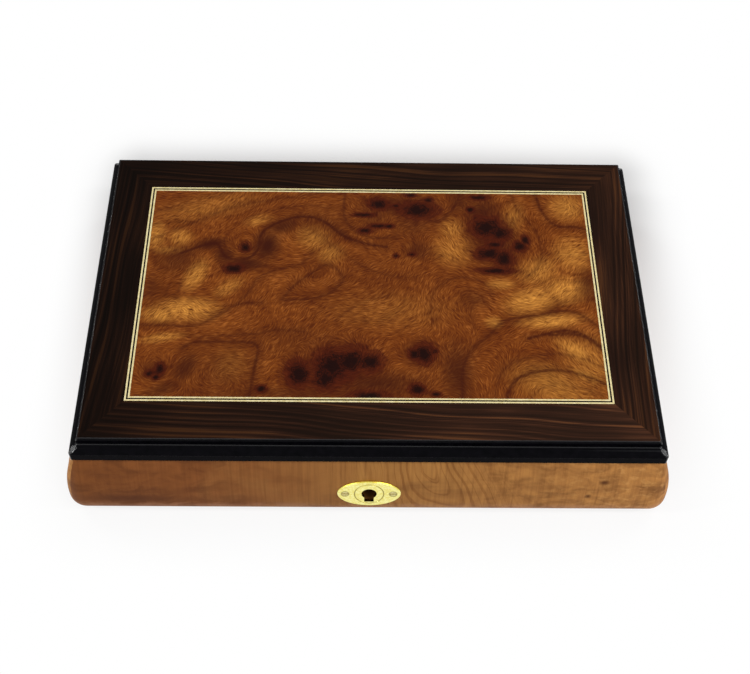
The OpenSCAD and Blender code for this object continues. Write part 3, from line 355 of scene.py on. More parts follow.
# Drawn brass: a warm satin yellow that the rolling left faintly lined
brass, tree, shader = finish("drawn_brass", Metallic=1)
place = add(tree, "TexCoord").outputs["Object"]
# Faint rolling lines 0.4 mm apart, and a slow change in the polish over about 8 mm
lines = add(tree, "Mapping", {"Vector": place, "Scale": (150, 2500, 2500)})
lines = add(tree, "TexNoise", {"Vector": lines, "Scale": 1})
polish = add(tree, "TexNoise", {"Vector": place, "Scale": 125, "Detail": 2})
join(tree, shader, Base_Color=add(tree, "ValToRGB", {"Fac": lines}, [(0.3, "#D6B05A"), (0.7, "#E2C070")]),
     Roughness=add(tree, "MapRange", {"Value": polish, "To Min": 0.28, "To Max": 0.42}))
dress(brass, "bearing_brackets", "spring_barrel", "winding_key", "pinned_cylinder", "drive_pinion",
      "cylinder_gear", "governor_gear", "stop_pin", "base_hinge_leaves", "base_hinge_screws",
      "lid_hinge_leaves", "lid_hinge_screws", "hinge_pins", "lock_case", "lock_screws", "link_plate",
      "link_plate_screws")

# Cast acrylic: clear and glossy, so that the movement shows through it
acrylic, tree, shader = finish("clear_acrylic", Roughness=0.03, IOR=1.49, Transmission_Weight=1, Alpha=0.35)
place = add(tree, "TexCoord").outputs["Object"]
flow = add(tree, "TexNoise", {"Vector": place, "Scale": 30, "Detail": 1})
join(tree, shader, Base_Color=add(tree, "ValToRGB", {"Fac": flow}, [(0.3, "#F2F6F7"), (0.7, "#FAFCFC")]))
dress(acrylic, "movement_cover")


# Keyhole plate: a pressed oval of lacquered bright brass with a turned ring, held by two small
# slotted screws, countersunk.
# Bright brass: a pale yellow, finely stippled so that it glitters
bright, tree, shader = finish("bright_brass", Metallic=1)
place = add(tree, "TexCoord").outputs["Object"]
grit = add(tree, "TexNoise", {"Vector": place, "Scale": 900, "Detail": 3})
# Tarnish stays in the turned ring, 6.5 mm from the keyhole's middle, and round the screws
plan = add(tree, "Mapping", {"Vector": place, "Location": (0, 0, -keyhole_z), "Scale": (1000, 0, 1000)})
ring = add(tree, "VectorMath", {0: plan}, operation="LENGTH").outputs["Value"]
ring = add(tree, "Math", {0: ring, 1: 6.5}, operation="SUBTRACT")
ring = add(tree, "Math", {0: ring}, operation="ABSOLUTE")
sides = add(tree, "VectorMath", {0: plan}, operation="ABSOLUTE")
sides = add(tree, "VectorMath", {0: sides, 1: (10.7, 0, 0)}, operation="DISTANCE").outputs["Value"]
sides = add(tree, "Math", {0: sides, 1: 1.7}, operation="SUBTRACT")
sides = add(tree, "Math", {0: sides}, operation="ABSOLUTE")
tarnish = add(tree, "Math", {0: ring, 1: sides}, operation="MINIMUM")
tarnish = add(tree, "MapRange", {"Value": tarnish, "From Min": 0.42, "From Max": 0.12, "To Max": 0.6},
              interpolation_type="SMOOTHSTEP")
bared = add(tree, "ValToRGB", {"Fac": grit}, [(0.35, "#EEE07C"), (0.65, "#FBF5A6")])
join(tree, shader,
     Base_Color=add(tree, "Mix", {"Factor": tarnish, "A": bared, "B": colour("#7C6824")}, data_type="RGBA"),
     Roughness=add(tree, "MapRange", {"Value": grit, "To Min": 0.1, "To Max": 0.24}),
     Normal=add(tree, "Bump", {"Height": grit, "Strength": 0.12, "Distance": 0.00012}))
dress(bright, "keyhole_plate")

# Turned brass: a little duller than the plate, with uneven lathe marks
screw_brass, tree, shader = finish("turned_screw_brass", Metallic=1)
place = add(tree, "TexCoord").outputs["Object"]
turned = add(tree, "TexNoise", {"Vector": place, "Scale": 1200, "Detail": 2})
join(tree, shader, Base_Color=add(tree, "ValToRGB", {"Fac": turned}, [(0.3, "#B7A768"), (0.7, "#E4DAA0")]),
     Roughness=add(tree, "MapRange", {"Value": turned, "To Min": 0.1, "To Max": 0.3}),
     Normal=add(tree, "Bump", {"Height": turned, "Strength": 0.3, "Distance": 0.0002}))
dress(screw_brass, "keyhole_plate_screws")


# Lid edge: four mouldings of black lacquered hardwood, mitred round the lid board and polished to
# a full gloss.
lacquer, tree, shader = finish("black_lacquer", Roughness=0.5, Specular_IOR_Level=0, Coat_Roughness=0.06)
place = add(tree, "TexCoord").outputs["Object"]
peel = add(tree, "TexNoise", {"Vector": place, "Scale": 350, "Detail": 2})
# The lacquer rounds every edge by 0.9 mm, the mitres too, and the polishing wheel brings these edges to the
# highest gloss, which draws bright lines along them
eased = add(tree, "Bevel", {"Radius": 0.0009}, samples=6)
flat = add(tree, "NewGeometry").outputs["True Normal"]
facing = add(tree, "VectorMath", {0: eased, 1: flat}, operation="DOT_PRODUCT").outputs["Value"]
gloss = add(tree, "MapRange", {"Value": facing, "From Min": 0.98, "From Max": 0.88, "To Min": 0.06,
                               "To Max": 1})
film = add(tree, "Bump", {"Height": peel, "Strength": 0.02, "Distance": 0.0003, "Normal": eased})
join(tree, shader, Base_Color=add(tree, "ValToRGB", {"Fac": peel}, [(0.3, "#030305"), (0.7, "#08070B")]),
     Coat_Weight=gloss, Coat_Normal=film)
dress(lacquer, "front_moulding", "back_moulding", "left_moulding", "right_moulding")


# Lid border: four mitred strips of striped rosewood veneer, each with its grain along its length,
# under the lid's clear gloss lacquer.
def rosewood(name, turn, left, right):
    """Striped rosewood with the grain along X or, turned, along Y, with a painted sheen that makes it darker
    or paler from its left to its right.
    """
    material, tree, shader = finish(name, Roughness=0.5, Specular_IOR_Level=0, Coat_Weight=0.06,
                                    Coat_Roughness=0.2)
    place = add(tree, "TexCoord").outputs["Object"]
    strip = add(tree, "Mapping", {"Vector": place, "Rotation": (0, 0, turn), "Scale": (1000, 1000, 1000)})
    drift = add(tree, "Mapping", {"Vector": strip, "Scale": (0.01, 0.035, 0.035)})
    drift = add(tree, "TexNoise", {"Vector": drift, "Scale": 1, "Detail": 1})
    axes = add(tree, "SeparateXYZ", {"Vector": strip})
    across = add(tree, "Math", {0: drift, 1: 14, 2: axes.outputs["Y"]}, operation="MULTIPLY_ADD")
    across = add(tree, "Math", {0: axes.outputs["X"], 1: 0.07, 2: across}, operation="MULTIPLY_ADD")
    # Soft stripes 1 to 4 mm wide, with thin black lines here and there
    stripe = add(tree, "TexNoise", {"W": across, "Scale": 0.5, "Detail": 2, "Roughness": 0.6},
                 noise_dimensions="1D")
    fibre = add(tree, "Mapping", {"Vector": strip, "Scale": (0.04, 1.6, 1.6)})
    fibre = add(tree, "TexNoise", {"Vector": fibre, "Scale": 1, "Detail": 4, "Roughness": 0.6})
    cloud = add(tree, "Mapping", {"Vector": strip, "Scale": (0.02, 0.06, 0.06)})
    cloud = add(tree, "TexNoise", {"Vector": cloud, "Scale": 1, "Detail": 1})
    tone = add(tree, "Math", {0: stripe, 1: 0.7}, operation="MULTIPLY")
    tone = add(tree, "Math", {0: fibre, 1: 0.4, 2: tone}, operation="MULTIPLY_ADD")
    tone = add(tree, "Math", {0: cloud, 1: 0.5, 2: tone}, operation="MULTIPLY_ADD")
    tint = add(tree, "ValToRGB", {"Fac": tone}, [
        (0.62, "#0F0704"), (1.0, "#301B0D"), (0.78, "#170B06"), (0.9, "#22120A")])
    black = add(tree, "TexNoise", {"W": across, "Scale": 0.55, "Detail": 1}, noise_dimensions="1D")
    black = add(tree, "MapRange", {"Value": black, "From Min": 0.56, "From Max": 0.75, "To Max": 0.45},
                interpolation_type="SMOOTHSTEP")
    lined = add(tree, "Mix", {"Factor": black, "A": tint, "B": colour("#0A0503")}, data_type="RGBA")
    # Painted sheen: the colour is scaled from the left factor at x = -120 mm to the right factor at x = +120
    # mm, for a lamp's sheen on the lid's right
    side = add(tree, "SeparateXYZ", {"Vector": place})
    pale = add(tree, "MapRange", {"Value": side.outputs["X"], "From Min": -0.12, "From Max": 0.12,
                                  "To Min": left, "To Max": right})
    with_painted_sheen = add(tree, "VectorMath", {0: lined, "Scale": pale}, operation="SCALE")
    join(tree, shader, Base_Color=with_painted_sheen)
    return material


# The left and right factors paint the sheen: darker at the lid's left, paler at its right, most on the front
# strip
dress(rosewood("rosewood_front", 0, 0.9, 3.9), "front_border")
dress(rosewood("rosewood_back", 0, 0.8, 1.9), "back_border")
dress(rosewood("rosewood_sides", math.pi / 2, 0.7, 2), "left_border", "right_border")


# Inlay lines: stringing of pale boxwood, with black-dyed wood between, let in between border and
# panel and sanded flush under the lid's lacquer. Fine straight wood, so each line has an even tone.
for name, dark, pale, nodes in [("boxwood_line", "#CDBB82", "#E6D9A8", ["outer_line", "inner_line"]),
                                ("dyed_line", "#080504", "#120B08", ["middle_line"])]:
    stringing, tree, shader = finish(name, Roughness=0.5, Specular_IOR_Level=0, Coat_Weight=0.2,
                                     Coat_Roughness=0.08)
    place = add(tree, "TexCoord").outputs["Object"]
    fibre = add(tree, "TexNoise", {"Vector": place, "Scale": 800, "Detail": 3})
    join(tree, shader, Base_Color=add(tree, "ValToRGB", {"Fac": fibre}, [(0.3, dark), (0.7, pale)]))
    dress(stringing, *nodes)


# Burl panel: one leaf of elm burl veneer, with swirling figure, gold shimmer and dark knots,
# under a clear gloss lacquer. The figure is laid out in mm on the leaf and kept in its mesh.
low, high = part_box("burl_panel")
points_along, points_across = 232, 132  # about one a millimetre
deselect()
bpy.ops.mesh.primitive_grid_add(x_subdivisions=points_along, y_subdivisions=points_across, size=1,
                                location=((low.x + high.x) / 2, (low.y + high.y) / 2, high.z))
leaf = bpy.context.object
leaf.name = "burl_leaf"
leaf.scale = (high.x - low.x, high.y - low.y, 1)
bpy.ops.object.transform_apply(location=True, rotation=True, scale=True)
bpy.ops.object.mode_set(mode="EDIT")
bpy.ops.mesh.select_all(action="SELECT")
bpy.ops.mesh.region_to_loop()
bpy.ops.mesh.extrude_edges_move(TRANSFORM_OT_translate={"value": (0, 0, low.z - high.z)})
bpy.ops.mesh.edge_face_add()
bpy.ops.mesh.select_all(action="SELECT")
bpy.ops.mesh.normals_make_consistent(inside=False)
bpy.ops.object.mode_set(mode="OBJECT")

spots = np.empty(len(leaf.data.vertices) * 3)
leaf.data.vertices.foreach_get("co", spots)
spots = spots.reshape(-1, 3)[:, :2] * 1000


def ovals(layout, shift=(0, 0)):
    """How deep each point of the leaf, or one a shift away, lies in oval patches, from 1 in the middle to 0
    at the edge and below 0 outside, and each patch's amount. A patch has a place, half sizes, a turn in
    degrees and an amount."""
    depths, amounts = [], []
    for x, y, wide, high, turn, amount in layout:
        c, s = math.cos(math.radians(turn)), math.sin(math.radians(turn))
        dx, dy = spots[:, 0] + shift[0] - x, spots[:, 1] + shift[1] - y
        depths.append(1 - np.hypot((dx * c + dy * s) / wide, (dy * c - dx * s) / high))
        amounts.append(amount)
    return np.array(depths), np.array(amounts)[:, None]


def soften(depths):
    """Rounds off patches at their middle and edge."""
    depths = depths.clip(0, 1)
    return depths * depths * (3 - 2 * depths)


def keep(name, values):
    """Keeps a number for each point of the leaf in its mesh."""
    leaf.data.attributes.new(name, "FLOAT", "POINT").data.foreach_set("value", values.astype(np.float32))


# Swellings of the wood, with their height in mm: the growth layers rise to the right and wrap them
swells = [
    (12, 21, 24, 19, 0, 26), (-59, 25, 15, 15, 0, 20), (-14, -43, 30, 22, 10, 26), (-32, -47, 12, 14, 0, 10),
    (57, 30, 27, 36, 0, 30), (24, 50, 24, 16, 0, 16), (-67, -44, 24, 20, 0, -20), (-25, 5, 22, 12, 42, 14),
    (46, -6, 28, 24, 30, -16), (23, -36, 15, 13, 0, 14), (-95, -46, 15, 13, 0, 14), (98, 54, 18, 22, 0, 18),
    (-30, 33, 16, 20, 0, 12), (-88, -8, 26, 18, 30, -10), (-2, 46, 14, 16, 0, 12), (83, -72, 60, 60, 0, 60)]
heights = []
for shift in [(0, 0), (1, 0), (0, 1)]:
    depths, amounts = ovals(swells, shift)
    slope = spots[:, 1] + shift[1] - 0.3 * (spots[:, 0] + shift[0])
    heights.append(slope + (soften(depths) * amounts).sum(axis=0))
keep("layers", heights[0])
# The fibre's ripples lean from the layers by -15 to 55 degrees, shared out among six directions
swing = np.sin(spots[:, 0] / 13 + 2 * np.sin(spots[:, 1] / 17))
across = np.arctan2(heights[2] - heights[0], heights[1] - heights[0]) + np.radians(20 + 35 * swing)
leans = np.array([np.cos(across - k * math.pi / 6) ** 16 for k in range(6)])
for k, share in enumerate(leans / leans.sum(axis=0)):
    keep(f"lean_{k}", share)
# Dark knots
depths, _ = ovals([(*knot, 1) for knot in [
    (-59.5, 25, 3.6, 3.8, 0), (-64.5, 12, 6, 3.6, 0), (-2, 36, 4, 2.4, 0), (4, 39, 6, 1.8, 0),
    (9, 39, 3.6, 1.7, 0), (4, 53, 6.5, 4.6, 0), (24, 49.5, 11, 7, 0), (13, 52, 3, 1.6, 0),
    (20, 59, 4, 1.8, 0), (29, 56, 3.4, 2.2, 0), (-3, 46, 7, 1.7, 0), (12.5, 20.5, 1.8, 1.8, 0),
    (20, 21.5, 2.4, 1.4, 0), (49.5, 50, 2.4, 2.4, 0), (54, 58, 6, 2.2, 0), (57, 38.5, 10.5, 8.5, 0),
    (63, 35, 7, 6, 0), (57, 22.5, 8, 5, 0), (64, 19, 6, 6.6, 0), (60, 28, 5, 2.4, 0),
    (72, 27, 4.6, 4.4, 0), (75, 31, 2.6, 4, 0), (60, 12, 11, 2.2, 0), (-98, -47.5, 2.6, 2.2, 0),
    (-93.5, -45, 2.8, 4, 0), (-95, -49.5, 2.2, 1.8, 0), (-32, -47, 7, 9, 10), (-9, -40, 11, 9, 30),
    (-17, -43, 11, 12, 0), (0, -40.5, 7.5, 7, 0), (-20, -50, 8, 7, 0), (24.5, -36, 6, 7.4, 0),
    (20, -36, 3.4, 4, 0), (29.5, -34.5, 2, 2, 0), (-48, -55, 3, 2.6, 0), (21, -55, 4.6, 4, 0),
    (0, -58.5, 11, 3.2, 0), (29, -57.5, 3, 1.8, 0)]])
keep("knots", depths.max(axis=0).clip(-1, 1))
# Brown shade round and between the knots
depths, amounts = ovals([
    (-76, 27, 14, 6, 10, 0.9), (-69, 20, 9, 9, 0, 0.8), (-58, 15, 17, 7, 0, 0.9), (-49, 26, 10, 16, -10, 1),
    (-42, 38, 14, 8, 20, 0.8), (-14, 35, 14, 4, -45, 0.6), (-92, 17, 20, 16, 0, 0.6),
    (-102, 0, 10, 16, 0, 0.5), (-96, -46, 12, 10, 0, 0.6), (-82, -44, 9, 15, -25, 0.8),
    (-92, -56, 18, 7, 30, 0.7), (14, 52, 30, 13, 0, 0.75), (20, 40, 18, 14, 0, 0.5),
    (2, 46, 14, 14, 0, 0.6), (55, 48, 16, 18, 0, 0.8), (60, 30, 20, 26, 0, 0.8), (23, 24, 12, 11, 0, 0.6),
    (62, 12, 16, 5, 0, 0.7), (-16, -44, 22, 17, 0, 1), (-32, -47, 12, 13, 0, 0.9), (2, -52, 40, 12, 0, 0.8),
    (23, -36, 13, 12, 0, 0.8), (39, -46, 13, 28, 0, 0.8), (48, -4, 13, 10, 0, 0.45),
    (103, 4, 9, 17, 0, 0.75), (-30, -58, 80, 8, 0, 0.6), (45, 55, 10, 14, 0, 0.6),
    (-66, -46, 30, 22, 0, 0.4), (-25, 40, 34, 16, 0, 0.35), (-30, -30, 40, 16, 0, 0.3),
    (0, 0, 60, 40, 0, 0.15)])
keep("shade", (soften(depths) * amounts).max(axis=0))
# Gold shimmer, where the fibres stand up to the surface
depths, amounts = ovals([
    (-82, 8, 7, 14, -22, 0.9), (-84, -12, 22, 10, 0, 1), (-96, -15, 14, 7, 0, 0.9),
    (-66, 1, 12, 6, 40, 0.5), (-91, 31, 9, 8, -30, 0.7), (-103, 32, 8, 13, 0, 0.8),
    (-97, 23, 14, 4, 0, 0.5), (-94, -28, 15, 4, 10, 0.7), (76, -5, 20, 11, 20, 1), (91, 1, 18, 12, 10, 0.9),
    (84, -17, 22, 6, 6, 1), (57, -18, 6, 5, 0, 0.7), (94, -34, 16, 8, -35, 0.9), (97, -47, 14, 6, -25, 0.8),
    (80, 12, 16, 12, 30, 0.7), (97, 52, 13, 13, 0, 0.75), (97, 22, 14, 16, 0, 0.7),
    (40, 37, 9, 11, 0, 0.55), (40, 25, 14, 16, 0, 0.5), (70, 45, 8, 16, -15, 0.45), (62, 4, 10, 5, 0, 0.7),
    (-27, 31, 13, 11, -30, 0.55), (-19, 22, 10, 10, -40, 0.5), (-54, 42, 10, 5, 20, 0.5),
    (10, -12, 44, 16, 0, 0.2), (82, -52, 30, 16, -20, 0.6), (-62, -42, 12, 14, 0, 0.2),
    (-80, 50, 40, 12, 15, 0.3), (100, -40, 20, 24, 0, 0.5)])
keep("gold", (soften(depths) * amounts).max(axis=0))
# Late edges of the strongest layers, each with its strength and the points it runs through
edge, strength = np.full(len(spots), 12.0), np.zeros(len(spots))
for weight, points in [
        (1.0, [(-90, 21), (-80, 26), (-73, 28), (-71, 23), (-68, 18), (-61, 17), (-55, 20), (-53, 26),
               (-53, 33), (-49, 38), (-42, 42), (-34, 45), (-26, 44), (-20, 40), (-15, 34), (-8, 30), (1, 27),
               (8, 26)]),
        (0.5, [(-105, 29), (-92, 37), (-80, 43), (-66, 51), (-50, 55), (-33, 58), (-20, 61)]),
        (0.35, [(-106, 48), (-90, 52), (-74, 58), (-66, 61)]),
        (0.4, [(-63, 41), (-51, 48), (-38, 51), (-25, 52), (-18, 50)]),
        (0.7, [(-41, -6), (-35, 3), (-28, 9), (-21, 16), (-15, 12), (-12, 7), (-15, 1), (-22, -4), (-30, -6),
               (-41, -6)]),
        (0.55, [(-66, -13), (-58, -5), (-55, 2), (-51, 8), (-44, 12), (-36, 13), (-30, 17), (-27, 23)]),
        (0.7, [(-106, -21), (-92, -21), (-80, -22), (-72, -17), (-66, -12), (-60, -8), (-50, -8)]),
        (0.55, [(-86, -26), (-75, -28), (-62, -26), (-52, -26), (-44, -23), (-30, -24)]),
        (0.85, [(-85, -34), (-80, -30), (-65, -30), (-53, -30), (-50, -33), (-51, -40), (-52, -48),
                (-53, -60)]),
        (0.7, [(-12, 61), (-13, 50), (-12, 42), (-7, 35), (1, 31), (12, 32)]),
        (0.4, [(-25, 33), (-15, 24), (-7, 17), (0, 12), (10, 8), (22, 8)]),
        (0.4, [(-14, -16), (-8, -10), (0, -5), (10, -3)]),
        (0.5, [(-95, -5), (-94, 2), (-88, 4), (-89, -3), (-95, -5)]),
        (0.7, [(45, 61), (42, 52), (38, 46), (32, 42)]),
        (0.9, [(82, 61), (84, 50), (88, 42), (93, 39), (100, 40), (107, 37)]),
        (0.5, [(70, 61), (72, 50), (78, 42), (82, 33), (83, 22), (80, 14), (74, 8)]),
        (0.45, [(29, -19), (28, -8), (30, 0), (36, 6), (44, 9), (53, 6), (58, -2)]),
        (0.4, [(48, -22), (46, -12), (50, -4), (55, -8)]),
        (0.9, [(60, -60), (63, -51), (70, -46), (80, -44), (92, -45), (106, -52)]),
        (0.75, [(41, -60), (41, -47), (43, -38), (48, -31), (56, -24), (60, -18), (68, -15), (78, -14),
                (88, -11), (96, -12), (102, -17), (107, -22)]),
        (1.0, [(72, -27), (82, -24), (90, -22), (97, -24), (107, -32)]),
        (1.0, [(82, -25), (92, -24), (99, -26), (107, -34)]),
        (0.5, [(55, -60), (57, -48), (63, -41), (72, -37), (82, -35), (92, -36), (106, -43)]),
        (0.4, [(70, -60), (76, -53), (86, -51), (106, -58)])]:
    line = [np.array(p, dtype=float) for p in points]
    # Corners are cut twice, so that each line bends smoothly
    for cut in range(2):
        bends = [q for p, n in zip(line, line[1:]) for q in (0.75 * p + 0.25 * n, 0.25 * p + 0.75 * n)]
        line = line[:1] + bends + line[-1:]
    for p, n in zip(line, line[1:]):
        share = ((spots - p) @ (n - p) / ((n - p) @ (n - p))).clip(0, 1)
        away = np.hypot(*(spots - p - share[:, None] * (n - p)).T)
        closer = away < edge
        edge[closer], strength[closer] = away[closer], weight
keep("edge", edge)
keep("edge_strength", strength)

burl, tree, shader = finish("elm_burl", Roughness=0.5, Specular_IOR_Level=0, Coat_Weight=0.1,
                            Coat_Roughness=0.05)
place = add(tree, "TexCoord").outputs["Object"]
mm = add(tree, "VectorMath", {0: place, 1: (1000, 1000, 0)}, operation="MULTIPLY")
broad = add(tree, "TexNoise", {"Vector": mm, "Scale": 1 / 40, "Detail": 1})
small = add(tree, "TexNoise", {"Vector": mm, "Scale": 1 / 9, "Detail": 2})
tight = add(tree, "TexNoise", {"Vector": mm, "Scale": 1 / 3, "Detail": 3, "Roughness": 0.6})
cloud = add(tree, "TexNoise", {"Vector": mm, "Scale": 1 / 18, "Detail": 2})
# Growth layers 8 to 15 mm apart, each darkening towards a thin late edge, plainer in places
depth = add(tree, "Attribute", attribute_name="layers").outputs["Fac"]
depth = add(tree, "Math", {0: broad, 1: 40, 2: depth}, operation="MULTIPLY_ADD")
depth = add(tree, "Math", {0: small, 1: 8, 2: depth}, operation="MULTIPLY_ADD")
uneven = add(tree, "TexNoise", {"W": depth, "Scale": 0.045, "Detail": 1}, noise_dimensions="1D")
uneven = add(tree, "Math", {0: uneven, 1: 3.2}, operation="MULTIPLY")
layer = add(tree, "Math", {0: depth, 1: 0.085, 2: uneven}, operation="MULTIPLY_ADD")
layer = add(tree, "Math", {0: layer}, operation="FRACT")
layer = add(tree, "ValToRGB", {"Fac": layer}, [
    (0.0, "#6A6A6A"), (1.0, "#606060"), (0.05, "#909090"), (0.3, "#BCBCBC"), (0.7, "#D0D0D0"),
    (0.9, "#A8A8A8"), (0.97, "#4A4A4A")])
plain = add(tree, "TexNoise", {"Vector": mm, "Scale": 1 / 30, "Detail": 1, "Distortion": 0.5})
plain = add(tree, "MapRange", {"Value": plain, "From Min": 0.38, "From Max": 0.62, "To Min": 0.1,
                               "To Max": 0.6})
layer = add(tree, "Mix", {"Factor": plain, "A": colour("#B4B4B4"), "B": layer}, data_type="RGBA")
# Fibre: wavy ripples about 1 mm apart and 6 mm long in the six directions, and fine lines along the layers
sway = add(tree, "VectorMath", {0: small.outputs["Color"], 1: (5, 5, 0)}, operation="MULTIPLY")
swayed = add(tree, "VectorMath", {0: mm, 1: sway}, operation="ADD")
fibre = 0
for k in range(6):
    strokes = add(tree, "Mapping", {"Vector": swayed, "Location": (310 * k, 0, 0),
                                    "Rotation": (0, 0, k * math.pi / 6), "Scale": (0.48, 4, 1)},
                  vector_type="TEXTURE")
    strokes = add(tree, "TexNoise", {"Vector": strokes, "Scale": 1, "Detail": 1, "Roughness": 0.5})
    share = add(tree, "Attribute", attribute_name=f"lean_{k}").outputs["Fac"]
    fibre = add(tree, "Math", {0: strokes, 1: share, 2: fibre}, operation="MULTIPLY_ADD")
fibre = add(tree, "MapRange", {"Value": fibre, "From Min": 0.3, "From Max": 0.68})
grain = add(tree, "TexNoise", {"W": depth, "Scale": 0.6, "Detail": 2, "Roughness": 0.7},
            noise_dimensions="1D")
fibre = add(tree, "Mix", {"Factor": 0.3, "A": fibre, "B": grain}, data_type="FLOAT")
tone = add(tree, "Math", {0: cloud, 1: 0.4, 2: -0.12}, operation="MULTIPLY_ADD")
tone = add(tree, "Math", {0: fibre, 1: 0.65, 2: tone}, operation="MULTIPLY_ADD")
tone = add(tree, "Math", {0: layer, 1: 0.55, 2: tone}, operation="MULTIPLY_ADD")
ground = add(tree, "ValToRGB", {"Fac": tone}, [
    (0.25, "#3A1102"), (1.0, "#A05C24"), (0.5, "#5A2607"), (0.72, "#743A0F")])
gold = add(tree, "Attribute", attribute_name="gold").outputs["Fac"]
gleam = add(tree, "Math", {0: grain, 1: 0.5, 2: -0.3}, operation="MULTIPLY_ADD")
gleam = add(tree, "Math", {0: fibre, 1: 1.0, 2: gleam}, operation="MULTIPLY_ADD", use_clamp=True)
gleam = add(tree, "Math", {0: gleam, 1: gold}, operation="MULTIPLY")
gilt = add(tree, "Mix", {"Factor": gleam, "A": ground, "B": colour("#E09A42")}, data_type="RGBA")
shade = add(tree, "Attribute", attribute_name="shade").outputs["Fac"]
shade = add(tree, "Math", {0: shade, 1: 1.05}, operation="MULTIPLY")
shaded = add(tree, "Mix", {"Factor": shade, "A": gilt, "B": colour("#3A1305")}, data_type="RGBA")
# Late edges: a line 1.3 mm wide with a soft brown margin
away = add(tree, "Attribute", attribute_name="edge").outputs["Fac"]
away = add(tree, "Math", {0: away, 1: -0.6}, operation="ADD")
away = add(tree, "Math", {0: tight, 1: 1.2, 2: away}, operation="MULTIPLY_ADD")
line = add(tree, "MapRange", {"Value": away, "From Min": 1.3, "From Max": 0, "To Max": 0.5},
           interpolation_type="SMOOTHSTEP")
margin = add(tree, "MapRange", {"Value": away, "From Min": 5, "From Max": 0, "To Max": 0.4},
             interpolation_type="SMOOTHSTEP")
late = add(tree, "Math", {0: line, 1: margin}, operation="ADD")
weight = add(tree, "Attribute", attribute_name="edge_strength").outputs["Fac"]
late = add(tree, "Math", {0: late, 1: weight}, operation="MULTIPLY")
edged = add(tree, "Mix", {"Factor": late, "A": shaded, "B": colour("#3A1004")}, data_type="RGBA")
# Knots: a red-brown rim that darkens into a nearly black heart
knot = add(tree, "Attribute", attribute_name="knots").outputs["Fac"]
knot = add(tree, "Math", {0: small, 1: 0.4, 2: knot}, operation="MULTIPLY_ADD")
knot = add(tree, "Math", {0: tight, 1: 0.7, 2: knot}, operation="MULTIPLY_ADD")
rings = add(tree, "TexNoise", {"W": knot, "Scale": 7, "Detail": 1}, noise_dimensions="1D")
knot = add(tree, "Math", {0: knot, 1: -0.35}, operation="ADD")
knot = add(tree, "Math", {0: rings, 1: 0.7, 2: knot}, operation="MULTIPLY_ADD")
rim = add(tree, "MapRange", {"Value": knot, "From Min": 0.05, "From Max": 0.85, "To Max": 0.9},
          interpolation_type="SMOOTHSTEP")
heart = add(tree, "MapRange", {"Value": knot, "From Min": 0.8, "From Max": 1.35, "To Max": 0.9},
            interpolation_type="SMOOTHSTEP")
wood = add(tree, "Mix", {"Factor": fibre, "A": colour("#2A0802"), "B": colour("#531A07")}, data_type="RGBA")
rimmed = add(tree, "Mix", {"Factor": rim, "A": edged, "B": wood}, data_type="RGBA")
knotted = add(tree, "Mix", {"Factor": heart, "A": rimmed, "B": colour("#120302")}, data_type="RGBA")
join(tree, shader, Base_Color=knotted)
leaf.data.materials.append(burl)
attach(leaf, "lid")
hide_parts("burl_panel")


# Lid lining: a velvet panel padded with thin foam, glued into the lid, with a sewn channel
# round its edge.
low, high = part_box("lid_lining")
pad_slack, foam, pad_swell, glued = 0.0016, 0.0014, 0.0015, 0.0001
# The channel is sewn 19 mm in from the edge, 8 mm wide and 1.8 mm deep
channel_in, channel_half, channel_deep = 0.019, 0.004, 0.0018
deselect()
bpy.ops.mesh.primitive_grid_add(x_subdivisions=92, y_subdivisions=56, size=1)
pad = bpy.context.object
pad.name = "lid_pad"
pad.location = (0, 0, high.z)
pad.scale = (high.x - low.x - pad_slack, high.y - low.y - pad_slack, 1)
bpy.ops.object.transform_apply(location=True, rotation=True, scale=True)
bpy.ops.object.mode_set(mode="EDIT")
bpy.ops.mesh.select_all(action="SELECT")
bpy.ops.mesh.extrude_region_move(TRANSFORM_OT_translate={"value": (0, 0, -foam)})
bpy.ops.mesh.select_all(action="SELECT")
bpy.ops.mesh.normals_make_consistent(inside=False)
bpy.ops.object.mode_set(mode="OBJECT")
soft_cloth(pad, pad_swell, [v.index for v in pad.data.vertices if v.co.z > high.z - glued])
for v in pad.data.vertices:
    inset = min(high.x - abs(v.co.x), high.y - abs(v.co.y))
    if v.co.z < high.z - glued:
        v.co.z = max(v.co.z, low.z) + channel_deep * max(0, 1 - abs(inset - channel_in) / channel_half) ** 0.8
    v.co.x = min(max(v.co.x, low.x), high.x)
    v.co.y = min(max(v.co.y, low.y), high.y)
finer_skin(pad)
pad.data.materials.append(velvet)
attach(pad, "lid")
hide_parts("lid_lining")


# Studio: a plain pale floor, a soft key light from the right, a weak fill and small lights for the
# polished edges. Floor and room read white to the camera, and the floor keeps the box's soft shadow,
# deepened by a painted shadow in the floor's colour.
def plainly_seen(tree):
    """1 for the rays that show floor and room as white: the camera's, and those by gloss and glass."""
    rays = add(tree, "LightPath").outputs
    either = add(tree, "Math", {0: rays["Is Camera Ray"], 1: rays["Is Glossy Ray"]}, operation="MAXIMUM")
    return add(tree, "Math", {0: either, 1: rays["Is Transmission Ray"]}, operation="MAXIMUM")


shadow_middle, shadow_half, shadow_reach = (0.006, 0.015, 0), (0.13, 0.102, 0), 0.04
deselect()
bpy.ops.mesh.primitive_plane_add(size=8, location=(0, 0, 0))
floor = bpy.context.object
floor.name = "studio_floor"
paper, tree, shader = finish("white_paper", Roughness=0.9, Specular_IOR_Level=0.0)
